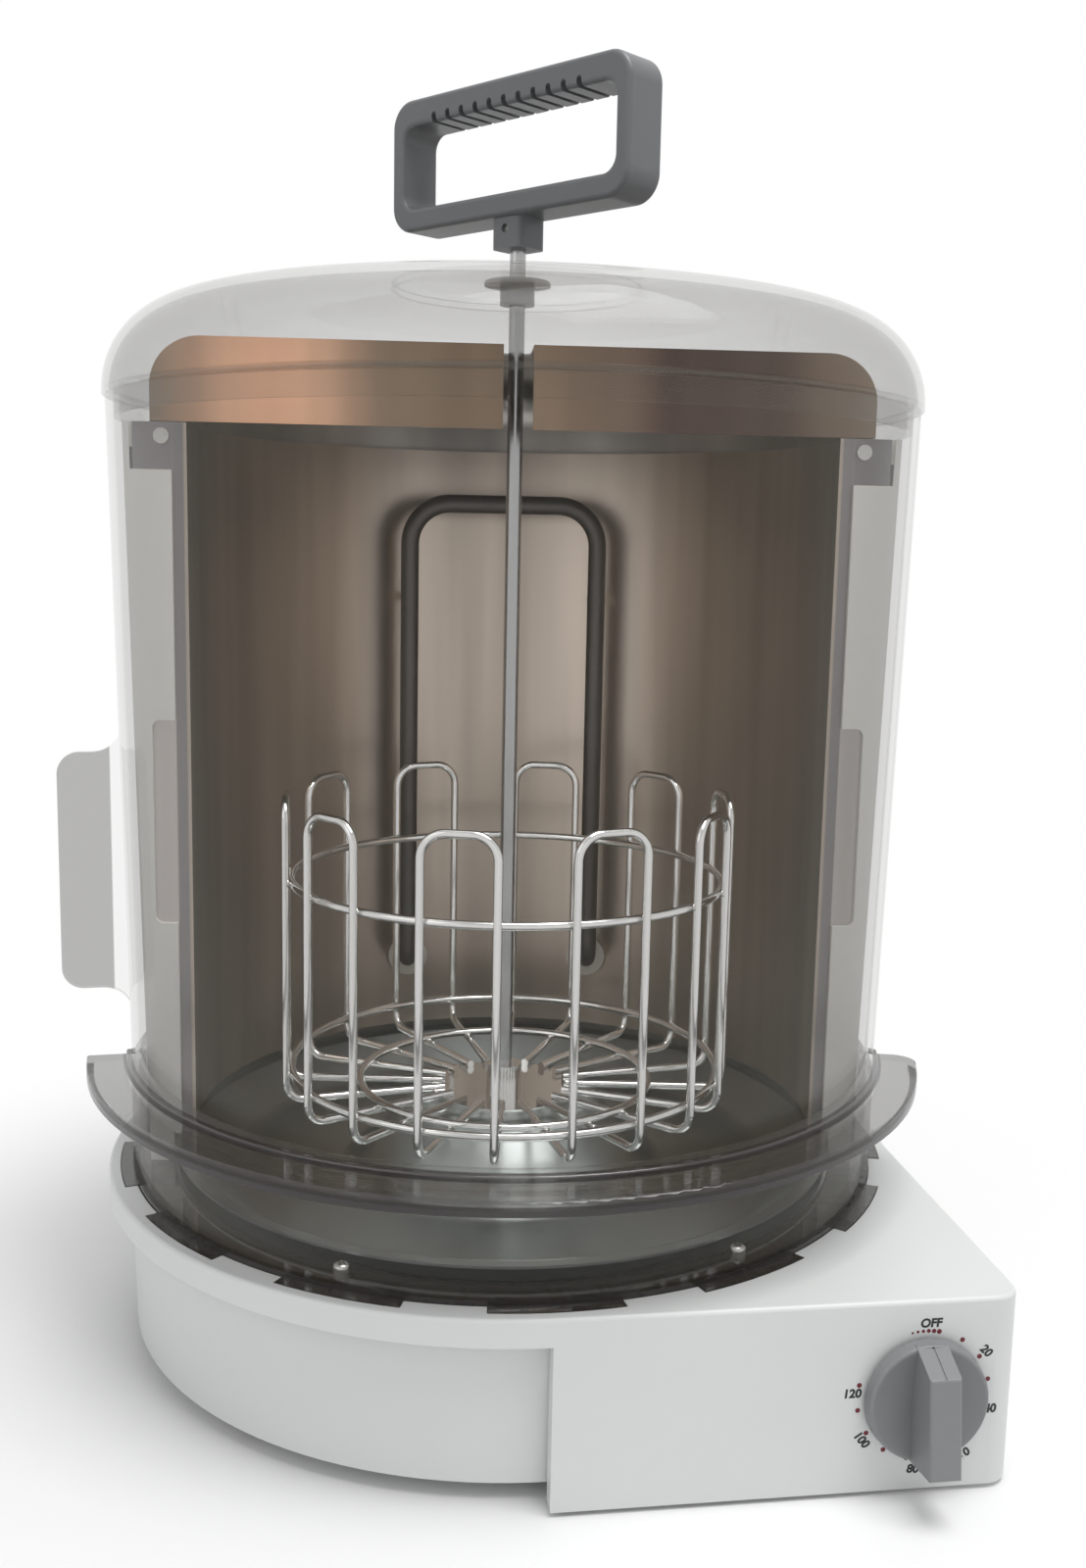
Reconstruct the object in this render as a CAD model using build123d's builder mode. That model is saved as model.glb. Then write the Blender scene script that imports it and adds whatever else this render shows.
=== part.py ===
from build123d import *

import os
from math import cos, degrees, radians, sin, sqrt

# Vertical rotisserie oven. Millimetres, +Z up, control panel facing -Y.
# The origin is where the carousel's axis meets the table.

# Base: a round deck whose front right quarter is squared off for the controls
DECK_R = 155.0
DECK_Z = 67.0
DECK_T = 2.5
SHELL = 2.5
SKIRT_H = 9.5
SKIRT_EDGE = 1.5
BOX_CORNER_R = 9.0
BOX_LEFT_X = -2.0
BOX_STEP = 2.0
BOX_BACK_Y = -14.0
BOX_LIFT = 1.2
TUB_INSET = 8.0
TUB_DRAFT = 1.5
TUB_LIFT = 6.0
TUB_FLOOR_T = 2.5
STAND_INSET = 27.5
STAND_W = 7.0
WELL_INSET = 1.6
WELL_FLOOR_Z = 50.0
BOSS_R = 4.5
BOSS_INSET = 8.5
BOSS_COUNT = 4
BASE_SCREW_R = 1.5
BASE_SCREW_HEAD_R = 3.4
BASE_SCREW_HEAD_T = 1.6
BASE_SCREW_LENGTH = 14.0
VENT_COUNT = 7
VENT_W = 3.0
VENT_LENGTH = 40.0
VENT_PITCH = 8.0
GLAND_Z = 24.0
GLAND_R = 6.0
GLAND_BORE_R = 3.6
GLAND_FLANGE_R = 9.0
GLAND_FLANGE_T = 3.0
GLAND_IN = 10.0
GLAND_OUT = 8.0

# Clearances
FIT = 0.3
RUN = 0.05
SLIDE_GAP = 0.5

# Clear lower ring, on tabs that drop into the deck's seat
SEAT_DEPTH = 2.0
RING_FOOT_T = 2.2
RING_FOOT_W = 15.4
RING_INSET = 9.0
RING_T = 2.5
RING_TOP_Z = 106.0
TAB_INSET = 4.5
TAB_COUNT = 13
TAB_ARC = 17.0
RING_SCREW_COUNT = 6
RING_SCREW_R = 1.6
RING_SCREW_LENGTH = 5.0
RING_SCREW_HEAD_R = 2.9
RING_SCREW_HEAD_H = 3.0
RING_SCREW_INSET = 3.4
CROSS_L = 3.2
CROSS_W = 0.8
CROSS_DEPTH = 1.3

# Clear sliding door
MOUTH_TURN = -4.7
DOOR_ARC = 161.0
DOOR_INSET = 0.4
DOOR_FLARE = 4.8
DOOR_T = 2.5
DOOR_TOP_Z = 354.5
FLANGE_W = 16.8
FLANGE_T = 2.6
FLANGE_LIP_H = 5.2
BEAD_W = 2.2
BEAD_H = 1.8
BEAD_EDGE_R = 0.9
FLANGE_EDGE_R = 0.9
FLANGE_CORNER_R = 9.0
RAIL_W = 1.6
RAIL_H = 5.0
FIN_OUT = 22.5
FIN_T = 3.0
FIN_LOW_Z = 136.5
FIN_HIGH_Z = 226.0
FIN_CORNER_R = 8.0
FIN_FLARE = 14.0
FIN_FLARE_R = 11.0

# Rear housing, reflector and heater
MOUTH_Y = 24.0
HOUSING_GAP = 3.0
HOUSING_T = 2.2
HOUSING_TOP_Z = 346.0
CHEEK_T = 2.0
CHEEK_INSET = 2.0
CHEEK_TOP_Z = 329.0
NOTCH_LOW_Z = 161.0
NOTCH_HIGH_Z = 238.0
NOTCH_W = 8.4
NOTCH_CORNER_R = 3.0
LEDGE_UNDER = 4.0
LUG_W = 12.0
LUG_H = 9.0
LUG_D = 12.0
SHEET = 0.8
REFLECTOR_INSET = 22.6
WING_W = 11.0
EAR_W = 16.0
REFLECTOR_LOW_Z = 78.0
HOOD_OVER = 12.0
HOOD_TOP_Z = 376.5
HOOD_CORNER_R = 18.0
HOOD_SLOT_W = 11.0
HEATER_R = 4.0
HEATER_X = 42.0
HEATER_LOW_Z = 112.0
HEATER_HIGH_Z = 322.0
HEATER_BEND_R = 18.0
HEATER_TAIL_R = 8.0
HEATER_STANDOFF = 15.0
HEATER_TAIL_OUT = 7.0
BUSH_R = 7.0
BUSH_FLANGE_R = 9.0
BUSH_FLANGE_T = 1.6
BUSH_DEPTH = 13.0
CLIP_Z = 280.0
CLIP_W = 6.0
CLIP_H = 4.0
WING_SCREW_Z = 341.0
WING_SCREW_R = 1.4
WING_SCREW_LENGTH = 8.0
WING_SCREW_HEAD_R = 2.8
WING_SCREW_HEAD_H = 1.8
CUTOUT_R = 9.0
CUTOUT_H = 8.0
CUTOUT_Z = 205.0

# Clear dome
DOME_OVER = 1.1
DOME_T = 2.5
DOME_SHOULDER_Z = 384.4
DOME_SHOULDER_R = 32.5
DOME_DISC_R = 46.0
DOME_DISC_Z = 400.5
DOME_DISC_BEND_R = 12.0
SPIGOT_T = 1.8
SPIGOT_H = 8.0
SPIGOT_WEB = 2.0
DOME_POST_R = 3.2
DOME_POST_OUT = 4.2
DOME_POST_ANGLES = (35.0, 90.0, 145.0)
DOME_SCREW_R = 1.4
DOME_SCREW_LENGTH = 12.0
DOME_SCREW_HEAD_R = 2.5
DOME_SCREW_HEAD_T = 1.6
BUSHING_R = 12.5
BUSHING_FLANGE_T = 1.8
BUSHING_NECK_R = 6.5
BUSHING_NECK_H = 7.0
BUSHING_SLACK = 0.1

# Carousel: drive, drip pan, rack and spit
AXLE_R = 4.0
AXLE_TOP_Z = 66.0
AXLE_GRIP = 12.0
AXLE_HOLE_SLACK = 2.0
MOTOR_R = 27.0
MOTOR_H = 24.0
MOTOR_EAR_X = 34.0
MOTOR_EAR_W = 12.0
MOTOR_EAR_T = 2.0
MOTOR_SCREW_R = 1.6
MOTOR_SCREW_LENGTH = 8.0
MOTOR_SCREW_HEAD_R = 3.0
MOTOR_SCREW_HEAD_H = 2.0
COUPLING_R = 25.0
COUPLING_LOW_Z = 53.0
COUPLING_TOP_Z = 84.0
COUPLING_WAIST_R = 16.0
COUPLING_FLANGE_T = 5.0
PAN_T = 1.0
PAN_GAP = 0.8
PAN_RIM_W = 5.0
PAN_RIM_Z = 72.5
PAN_RIM_BEND_R = 2.5
PAN_SLOPE_W = 21.8
PAN_FLOOR_Z = 57.0
PAN_FLOOR_IN_R = 62.0
PAN_BOSS_R = 36.0
PAN_BOSS_HOLE_R = 6.0
PAN_BEND_R = 9.0
WIRE_R = 1.6
WELD = 0.35
RACK_INSET = 20.0
RACK_TOP_Z = 207.0
RACK_RING_Z = 175.0
RACK_INNER_RING_R = 58.0
RACK_FOOT_IN_R = 25.0
HAIRPIN_COUNT = 10
HAIRPIN_ARC = 18.0
HAIRPIN_TOP_R = 9.0
HAIRPIN_FOOT_R = 7.0
HUB_R = 29.0
HUB_T = 2.5
HUB_COLLAR_R = 7.0
HUB_COLLAR_H = 12.0
ROD_R = 3.0
ROD_FOOT_Z = 70.0
ROD_CHAMFER = 1.0

# Lifting handle
HANDLE_TURN = -51.0
HANDLE_L = 121.0
HANDLE_H = 49.0
HANDLE_W = 18.5
HANDLE_END_BAR = 6.5
HANDLE_TOP_BAR = 10.0
HANDLE_LOW_BAR = 8.5
HANDLE_CORNER_R = 10.0
HANDLE_WINDOW_R = 6.0
HANDLE_EDGE_R = 1.8
HANDLE_LOW_Z = 424.5
GRIP_GROOVES = 11
GRIP_PITCH = 7.4
GRIP_GROOVE_W = 2.4
GRIP_GROOVE_DEPTH = 3.6
HANDLE_BOSS_L = 15.0
HANDLE_BOSS_R = 3.0
HANDLE_BOSS_LOW_Z = 413.5
PIN_R = 1.5
PIN_Z = 420.5
PIN_RECESS = 1.5

# Timer and its knob
KNOB_INSET = 35.0
KNOB_Z = 34.2
KNOB_R = 20.6
KNOB_DRAFT = 0.6
KNOB_DISC_T = 4.2
KNOB_BAR_W = 10.5
KNOB_BAR_INSET = 0.8
KNOB_SHOULDER = 3.2
KNOB_NOSE_OUT = 15.7
KNOB_NOSE_UP = 14.8
KNOB_HEEL_OUT = 20.2
KNOB_HEEL_DOWN = 17.0
KNOB_EDGE_R = 1.0
KNOB_GAP = 1.8
KNOB_GRIP = 10.0
KNOB_RIM = 1.2
KNOB_DISH_R = 90.0
KNOB_BAR_ROOT = 1.5
POINTER_W = 0.8
POINTER_DEPTH = 0.9
TIMER_W = 46.0
TIMER_H = 44.0
TIMER_D = 30.0
TIMER_EDGE_R = 3.0
TIMER_SHAFT_R = 3.0
TIMER_SHAFT_IN = 12.0
TIMER_NECK_R = 6.0
TIMER_NECK_OUT = 0.8
TIMER_SCREW_PITCH = 30.0
TIMER_SCREW_R = 1.4
TIMER_SCREW_LENGTH = 6.0
TIMER_SCREW_HEAD_R = 2.6
TIMER_SCREW_HEAD_H = 1.2

# Terminal block on the tub's floor
BLOCK_X = -70.0
BLOCK_Y = 60.0
BLOCK_L = 42.0
BLOCK_W = 18.0
BLOCK_H = 16.0
BLOCK_POLES = 3
BLOCK_POLE_R = 3.0
BLOCK_POLE_PITCH = 12.0
BLOCK_POLE_DEPTH = 9.0

# Worked out from the sizes above
TUB_TOP_R = DECK_R - TUB_INSET
TUB_FOOT_R = TUB_TOP_R - TUB_DRAFT
STAND_R = TUB_FOOT_R - STAND_INSET
BOSS_CIRCLE_R = TUB_TOP_R - BOSS_INSET
TAB_R = DECK_R - TAB_INSET
RING_R = DECK_R - RING_INSET
RING_IN_R = RING_R - RING_FOOT_W
RING_SCREW_CIRCLE_R = RING_IN_R + RING_SCREW_INSET
WELL_R = RING_IN_R - WELL_INSET
DOOR_FOOT_R = RING_R - DOOR_INSET
DOOR_TOP_R = DOOR_FOOT_R + DOOR_FLARE
FLANGE_R = DOOR_FOOT_R + FLANGE_W
REFLECTOR_R = DOOR_FOOT_R - REFLECTOR_INSET
REFLECTOR_WING = REFLECTOR_R + WING_W
CHEEK_IN = REFLECTOR_R + CHEEK_INSET
HOOD_R = REFLECTOR_R + HOOD_OVER
LEDGE_R = HOOD_R - LEDGE_UNDER
WING_SCREW_X = REFLECTOR_R + WING_W / 2
DOME_R = DOOR_TOP_R + DOME_OVER
DOME_POST_CIRCLE_R = HOOD_R + DOME_POST_OUT
PAN_RIM_R = RING_IN_R - PAN_GAP
PAN_FLOOR_OUT_R = PAN_RIM_R - PAN_SLOPE_W
RACK_R = PAN_FLOOR_OUT_R - RACK_INSET
KNOB_X = DECK_R - KNOB_INSET
SPAN = 2 * (DOME_R + FIN_OUT)
PANEL_Y = -DECK_R
SEAT_Z = DECK_Z - SEAT_DEPTH
DECK_UNDER_Z = SEAT_Z - DECK_T
SKIRT_LOW_Z = DECK_Z - SKIRT_H
TUB_FLOOR_Z = TUB_LIFT + TUB_FLOOR_T
RING_FOOT_Z = SEAT_Z + RING_FOOT_T
DOOR_LOW_Z = RING_TOP_Z + SLIDE_GAP
FLANGE_Z = DOOR_LOW_Z + FLANGE_T
DOOR_START = 270 + MOUTH_TURN - DOOR_ARC / 2
HOUSING_LOW_Z = RING_FOOT_Z
MOUTH_BACK = MOUTH_Y + SHEET
MOUTH_FRONT = MOUTH_BACK + CHEEK_T
REFLECTOR_TOP_Z = HOUSING_TOP_Z
HOOD_LOW_Z = HOUSING_TOP_Z + FIT
HEATER_Y = sqrt((REFLECTOR_R - SHEET) ** 2 - HEATER_X**2) - HEATER_STANDOFF
BUSH_Y = sqrt(REFLECTOR_R**2 - HEATER_X**2)
DOME_LOW_Z = DOOR_TOP_Z + SLIDE_GAP
SPIGOT_R = DOOR_TOP_R - DOOR_T - SLIDE_GAP
MOTOR_PLATE_Z = WELL_FLOOR_Z - DECK_T - MOTOR_EAR_T
MOTOR_LOW_Z = MOTOR_PLATE_Z - MOTOR_H
PAN_BOSS_Z = COUPLING_TOP_Z + FIT + PAN_T
HUB_TOP_Z = PAN_BOSS_Z + HUB_T
RACK_FLOOR_Z = HUB_TOP_Z + WIRE_R - WELD
ROD_TOP_Z = HANDLE_LOW_Z + HANDLE_LOW_BAR / 2
TIMER_BACK_Y = PANEL_Y + SHELL
KNOB_BACK_Y = PANEL_Y - KNOB_GAP
BOTTOM = (Align.CENTER, Align.CENTER, Align.MIN)


def door_radius(z):
    """Outer radius of the tapered door wall at height z."""
    share = (z - DOOR_LOW_Z) / (DOOR_TOP_Z - DOOR_LOW_Z)
    return DOOR_FOOT_R + share * (DOOR_TOP_R - DOOR_FOOT_R)


def housing_radius(z):
    """Outer radius of the rear housing, which stands inside the door."""
    return door_radius(z) - DOOR_T - HOUSING_GAP


def meridian(angle):
    """The upright plane at this angle: its x is the radius and its y is the height."""
    a = radians(angle)
    return Plane((0, 0, 0), x_dir=(cos(a), sin(a), 0), z_dir=(sin(a), -cos(a), 0))


def mouth_level(height):
    """A level plane turned with the oven's mouth, which is on the plane's -y side."""
    a = radians(MOUTH_TURN)
    return Plane((0, 0, height), x_dir=(cos(a), sin(a), 0), z_dir=(0, 0, 1))


def mouth_face(back):
    """An upright plane that faces out of the mouth, this far behind the axis."""
    a = radians(MOUTH_TURN)
    return Plane(
        (-sin(a) * back, cos(a) * back, 0),
        x_dir=(cos(a), sin(a), 0),
        z_dir=(sin(a), -cos(a), 0),
    )


def panel_face(y):
    """An upright plane parallel to the control panel, facing its front."""
    return Plane((0, y, 0), x_dir=(1, 0, 0), z_dir=(0, -1, 0))


def polar(radius, angle, height):
    """A point from its radius, angle and height."""
    return (radius * cos(radians(angle)), radius * sin(radians(angle)), height)


def corner_plan(left, right, front, back, radius):
    """A rectangle on the current sketch with its front right corner rounded."""
    with BuildLine() as outline:
        Line((left, front), (right - radius, front))
        CenterArc((right - radius, front + radius), radius, -90, 90)
        Line((right, front + radius), (right, back))
        Line((right, back), (left, back))
        Line((left, back), (left, front))
    make_face(outline.edges())


def deck_plan(inset):
    """The deck's plan: a circle with its front right quarter squared off."""
    side = DECK_R - inset
    Circle(side)
    corner_plan(0, side - BOX_STEP, -side, 0, BOX_CORNER_R - inset)


def box_plan(inset):
    """The control box's plan, inside its walls by this much."""
    corner_plan(
        BOX_LEFT_X + inset,
        DECK_R - BOX_STEP - inset,
        PANEL_Y + inset,
        BOX_BACK_Y - inset,
        BOX_CORNER_R - inset,
    )


def wedge(radius, middle, arc):
    """A sector of a circle on the current sketch."""
    start = middle - arc / 2
    with BuildLine() as outline:
        Line((0, 0), polar(radius, start, 0)[:2])
        CenterArc((0, 0), radius, start, arc)
        Line(polar(radius, start + arc, 0)[:2], (0, 0))
    make_face(outline.edges())


def ring_plan(clearance):
    """The lower ring's foot: a circle with tabs all round it."""
    Circle(RING_R + clearance)
    spare = degrees(2 * clearance / TAB_R)
    for tab in range(TAB_COUNT):
        wedge(TAB_R + clearance, 270 + tab * 360 / TAB_COUNT, TAB_ARC + spare)


def block_profile(r_in, r_out, low, high):
    """A rectangle on the current meridian sketch, for turning into a ring."""
    with Locations(((r_in + r_out) / 2, (low + high) / 2)):
        Rectangle(r_out - r_in, high - low)


def wall_profile(outer, thickness, low, high):
    """A leaning wall on the current meridian sketch: outer gives its radius at a height."""
    with BuildLine() as outline:
        Polyline(
            (outer(low) - thickness, low),
            (outer(low), low),
            (outer(high), high),
            (outer(high) - thickness, high),
            close=True,
        )
    make_face(outline.edges())


def filled_profile(outer, low, high):
    """A leaning solid on the current meridian sketch, from the axis to the radius outer gives."""
    with BuildLine() as outline:
        Polyline((0, low), (outer(low), low), (outer(high), high), (0, high), close=True)
    make_face(outline.edges())


def hood_profile(inset):
    """Half of the hood's section, inside its skin by this much."""
    side = HOOD_R - inset
    top = HOOD_TOP_Z - inset
    with BuildLine() as outline:
        FilletPolyline(
            (side, HOOD_LOW_Z), (side, top), (0, top), radius=HOOD_CORNER_R - inset
        )
        Polyline((0, top), (0, HOOD_LOW_Z), (side, HOOD_LOW_Z))
    make_face(outline.edges())


def dome_profile(inset, low):
    """Half of the dome's section, inside its skin by this much, down to the height low."""
    side = DOME_R - inset
    top = DOME_DISC_Z - inset
    with BuildLine() as outline:
        FilletPolyline(
            (side, low),
            (side, DOME_SHOULDER_Z - inset),
            (DOME_DISC_R, top),
            (0, top),
            radius=[DOME_SHOULDER_R - inset, DOME_DISC_BEND_R],
        )
        Polyline((0, top), (0, low), (side, low))
    make_face(outline.edges())


def fin_profile():
    """The fin's outline on the door's end, with flared roots and rounded corners."""
    tip = door_radius(FIN_HIGH_Z) + FIN_OUT
    heights = (FIN_LOW_Z - FIN_FLARE, FIN_LOW_Z, FIN_HIGH_Z, FIN_HIGH_Z + FIN_FLARE)
    root = [(door_radius(z) - DOOR_T / 2, z) for z in heights]
    with BuildLine() as outline:
        FilletPolyline(
            root[0],
            root[1],
            (tip, FIN_LOW_Z),
            (tip, FIN_HIGH_Z),
            root[2],
            root[3],
            radius=[FIN_FLARE_R, FIN_CORNER_R, FIN_CORNER_R, FIN_FLARE_R],
        )
        Polyline(
            root[3],
            (door_radius(heights[3]) - DOOR_T, heights[3]),
            (door_radius(heights[0]) - DOOR_T, heights[0]),
            root[0],
        )
    make_face(outline.edges())


def save(piece, name):
    """Label a finished piece and write its file."""
    piece.part.label = name
    export_step(piece.part, f"parts/{name}.step")


os.makedirs("parts", exist_ok=True)

# Base cover: deck, skirt, control box walls, well and screw bosses in one moulding
with BuildPart() as base_cover:
    with BuildSketch(Plane.XY.offset(SKIRT_LOW_Z)):
        deck_plan(0)
    extrude(amount=SKIRT_H)
    fillet(base_cover.faces().sort_by(Axis.Z)[-1].edges(), SKIRT_EDGE)
    with BuildSketch(Plane.XY.offset(SKIRT_LOW_Z)):
        deck_plan(SHELL)
    extrude(amount=DECK_UNDER_Z - SKIRT_LOW_Z, mode=Mode.SUBTRACT)
    with BuildSketch(Plane.XY.offset(BOX_LIFT)):
        box_plan(0)
        with BuildSketch(mode=Mode.SUBTRACT):
            box_plan(SHELL)
        Circle(TUB_TOP_R + FIT, mode=Mode.SUBTRACT)
    extrude(amount=DECK_UNDER_Z - BOX_LIFT)
    with BuildSketch(Plane.XY.offset(WELL_FLOOR_Z - DECK_T)):
        Circle(WELL_R + SHELL)
    extrude(amount=DECK_UNDER_Z - WELL_FLOOR_Z + DECK_T)
    with BuildSketch(Plane.XY.offset(WELL_FLOOR_Z)):
        Circle(WELL_R)
    extrude(amount=DECK_Z - WELL_FLOOR_Z, mode=Mode.SUBTRACT)
    with BuildSketch(Plane.XY.offset(SEAT_Z)):
        ring_plan(FIT)
    extrude(amount=SEAT_DEPTH, mode=Mode.SUBTRACT)
    with BuildSketch(Plane.XY.offset(TUB_FLOOR_Z)):
        with PolarLocations(BOSS_CIRCLE_R, BOSS_COUNT, start_angle=180 / BOSS_COUNT):
            Circle(BOSS_R)
            Circle(BASE_SCREW_R + RUN, mode=Mode.SUBTRACT)
    extrude(amount=DECK_UNDER_Z - TUB_FLOOR_Z)
    with BuildSketch(Plane.XY.offset(WELL_FLOOR_Z)):
        Circle(AXLE_R + AXLE_HOLE_SLACK)
        with Locations((MOTOR_EAR_X, 0), (-MOTOR_EAR_X, 0)):
            Circle(MOTOR_SCREW_R + RUN)
    extrude(amount=-DECK_T, mode=Mode.SUBTRACT)
    with BuildSketch(Plane.XY.offset(SEAT_Z)):
        with PolarLocations(RING_SCREW_CIRCLE_R, RING_SCREW_COUNT, start_angle=0):
            Circle(RING_SCREW_R + RUN)
    extrude(amount=-DECK_T, mode=Mode.SUBTRACT)
    with BuildSketch(panel_face(PANEL_Y)):
        with Locations((KNOB_X, KNOB_Z)):
            Circle(TIMER_NECK_R + FIT)
            with GridLocations(TIMER_SCREW_PITCH, 0, 2, 1):
                Circle(TIMER_SCREW_R + RUN)
    extrude(amount=-SHELL, mode=Mode.SUBTRACT)
save(base_cover, "base_cover")

# Base tub: drum wall, floor and standing ring, open towards the control box
with BuildPart() as base_tub:
    with BuildSketch(Plane.XZ):
        wall_profile(
            lambda z: TUB_FOOT_R
            + (TUB_TOP_R - TUB_FOOT_R) * (z - TUB_LIFT) / (DECK_UNDER_Z - TUB_LIFT),
            SHELL,
            TUB_LIFT,
            DECK_UNDER_Z,
        )
        block_profile(STAND_R - STAND_W, STAND_R, 0, TUB_LIFT)
        block_profile(0, TUB_FOOT_R - SHELL / 2, TUB_LIFT, TUB_FLOOR_Z)
    revolve(axis=Axis.Z)
    with BuildSketch(Plane.XY.offset(TUB_LIFT)):
        box_plan(SHELL + FIT)
    extrude(amount=TUB_FLOOR_T)
    with BuildSketch(Plane.XY.offset(TUB_FLOOR_Z)):
        box_plan(SHELL + FIT)
    extrude(amount=DECK_UNDER_Z - TUB_FLOOR_Z, mode=Mode.SUBTRACT)
    with BuildSketch(Plane.XY.offset(TUB_LIFT)):
        with PolarLocations(BOSS_CIRCLE_R, BOSS_COUNT, start_angle=180 / BOSS_COUNT):
            Circle(BASE_SCREW_R + RUN)
        with GridLocations(0, VENT_PITCH, 1, VENT_COUNT):
            SlotOverall(VENT_LENGTH, VENT_W)
    extrude(amount=TUB_FLOOR_T, mode=Mode.SUBTRACT)
    with BuildSketch(Plane.XZ):
        with Locations((0, GLAND_Z)):
            Circle(GLAND_R + RUN)
    extrude(amount=-TUB_TOP_R, mode=Mode.SUBTRACT)
save(base_tub, "base_tub")

# Screws that hold the tub to the cover's bosses, heads under the floor
with BuildPart() as base_screws:
    with PolarLocations(BOSS_CIRCLE_R, BOSS_COUNT, start_angle=180 / BOSS_COUNT):
        with Locations((0, 0, TUB_LIFT - BASE_SCREW_HEAD_T)):
            Cylinder(BASE_SCREW_HEAD_R, BASE_SCREW_HEAD_T, align=BOTTOM)
        with Locations((0, 0, TUB_LIFT)):
            Cylinder(BASE_SCREW_R, BASE_SCREW_LENGTH, align=BOTTOM)
save(base_screws, "base_screws")

# Gland for the mains lead, through the back of the drum
with BuildPart() as cord_gland:
    with BuildSketch(Plane.XZ.offset(-(TUB_TOP_R - GLAND_IN))):
        with Locations((0, GLAND_Z)):
            Circle(GLAND_R)
    extrude(amount=-(GLAND_IN + GLAND_OUT))
    with BuildSketch(Plane.XZ.offset(-TUB_TOP_R)):
        with Locations((0, GLAND_Z)):
            Circle(GLAND_FLANGE_R)
    extrude(amount=-GLAND_FLANGE_T)
    fillet(cord_gland.edges().group_by(Axis.Y)[-1], GLAND_R / 4)
    with BuildSketch(Plane.XZ.offset(-(TUB_TOP_R - GLAND_IN))):
        with Locations((0, GLAND_Z)):
            Circle(GLAND_BORE_R)
    extrude(amount=-(GLAND_IN + GLAND_OUT), mode=Mode.SUBTRACT)
save(cord_gland, "cord_gland")

# Terminal block, seated on the tub's floor
with BuildPart() as terminal_block:
    with Locations((BLOCK_X, BLOCK_Y, TUB_FLOOR_Z)):
        Box(BLOCK_L, BLOCK_W, BLOCK_H, align=BOTTOM)
    with BuildSketch(Plane.XY.offset(TUB_FLOOR_Z + BLOCK_H)):
        with Locations((BLOCK_X, BLOCK_Y)):
            with GridLocations(BLOCK_POLE_PITCH, 0, BLOCK_POLES, 1):
                Circle(BLOCK_POLE_R)
    extrude(amount=-BLOCK_POLE_DEPTH, mode=Mode.SUBTRACT)
save(terminal_block, "terminal_block")

# Gearmotor can, hung from its mounting plate under the well
with BuildPart() as gearmotor:
    with Locations((0, 0, MOTOR_LOW_Z)):
        Cylinder(MOTOR_R, MOTOR_H, align=BOTTOM)
    fillet(gearmotor.edges().group_by(Axis.Z)[0], SKIRT_EDGE)
    with BuildSketch(Plane.XY.offset(MOTOR_PLATE_Z)):
        Circle(AXLE_R + RUN)
    extrude(amount=-AXLE_GRIP, mode=Mode.SUBTRACT)
save(gearmotor, "gearmotor")

with BuildPart() as motor_plate:
    with BuildSketch(Plane.XY.offset(MOTOR_PLATE_Z)):
        Circle(MOTOR_R)
        SlotOverall(2 * MOTOR_EAR_X + MOTOR_EAR_W, MOTOR_EAR_W)
        Circle(AXLE_R + AXLE_HOLE_SLACK, mode=Mode.SUBTRACT)
        with Locations((MOTOR_EAR_X, 0), (-MOTOR_EAR_X, 0)):
            Circle(MOTOR_SCREW_R + RUN, mode=Mode.SUBTRACT)
    extrude(amount=MOTOR_EAR_T)
save(motor_plate, "motor_plate")

with BuildPart() as motor_screws:
    with Locations((MOTOR_EAR_X, 0, WELL_FLOOR_Z), (-MOTOR_EAR_X, 0, WELL_FLOOR_Z)):
        Cylinder(MOTOR_SCREW_HEAD_R, MOTOR_SCREW_HEAD_H, align=BOTTOM)
        Cylinder(
            MOTOR_SCREW_R,
            MOTOR_SCREW_LENGTH,
            align=(Align.CENTER, Align.CENTER, Align.MAX),
        )
save(motor_screws, "motor_screws")

# Timer behind the panel, its screws, spindle and knob
with BuildPart() as timer_body:
    with BuildSketch(panel_face(TIMER_BACK_Y)):
        with Locations((KNOB_X, KNOB_Z)):
            RectangleRounded(TIMER_W, TIMER_H, TIMER_EDGE_R)
    extrude(amount=-TIMER_D)
    with BuildSketch(panel_face(TIMER_BACK_Y)):
        with Locations((KNOB_X, KNOB_Z)):
            Circle(TIMER_NECK_R)
    extrude(amount=SHELL + TIMER_NECK_OUT)
    with BuildSketch(panel_face(PANEL_Y - TIMER_NECK_OUT)):
        with Locations((KNOB_X, KNOB_Z)):
            Circle(TIMER_SHAFT_R + RUN)
    extrude(amount=-(TIMER_NECK_OUT + SHELL + TIMER_SHAFT_IN), mode=Mode.SUBTRACT)
    with BuildSketch(panel_face(TIMER_BACK_Y)):
        with Locations((KNOB_X, KNOB_Z)):
            with GridLocations(TIMER_SCREW_PITCH, 0, 2, 1):
                Circle(TIMER_SCREW_R + RUN)
    extrude(amount=-TIMER_SCREW_LENGTH, mode=Mode.SUBTRACT)
save(timer_body, "timer_body")

with BuildPart() as timer_screws:
    with BuildSketch(panel_face(PANEL_Y)):
        with Locations((KNOB_X, KNOB_Z)):
            with GridLocations(TIMER_SCREW_PITCH, 0, 2, 1):
                Circle(TIMER_SCREW_HEAD_R)
    extrude(amount=TIMER_SCREW_HEAD_H)
    with BuildSketch(panel_face(PANEL_Y)):
        with Locations((KNOB_X, KNOB_Z)):
            with GridLocations(TIMER_SCREW_PITCH, 0, 2, 1):
                Circle(TIMER_SCREW_R)
    extrude(amount=-(SHELL + TIMER_SCREW_LENGTH - FIT))
save(timer_screws, "timer_screws")

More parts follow.
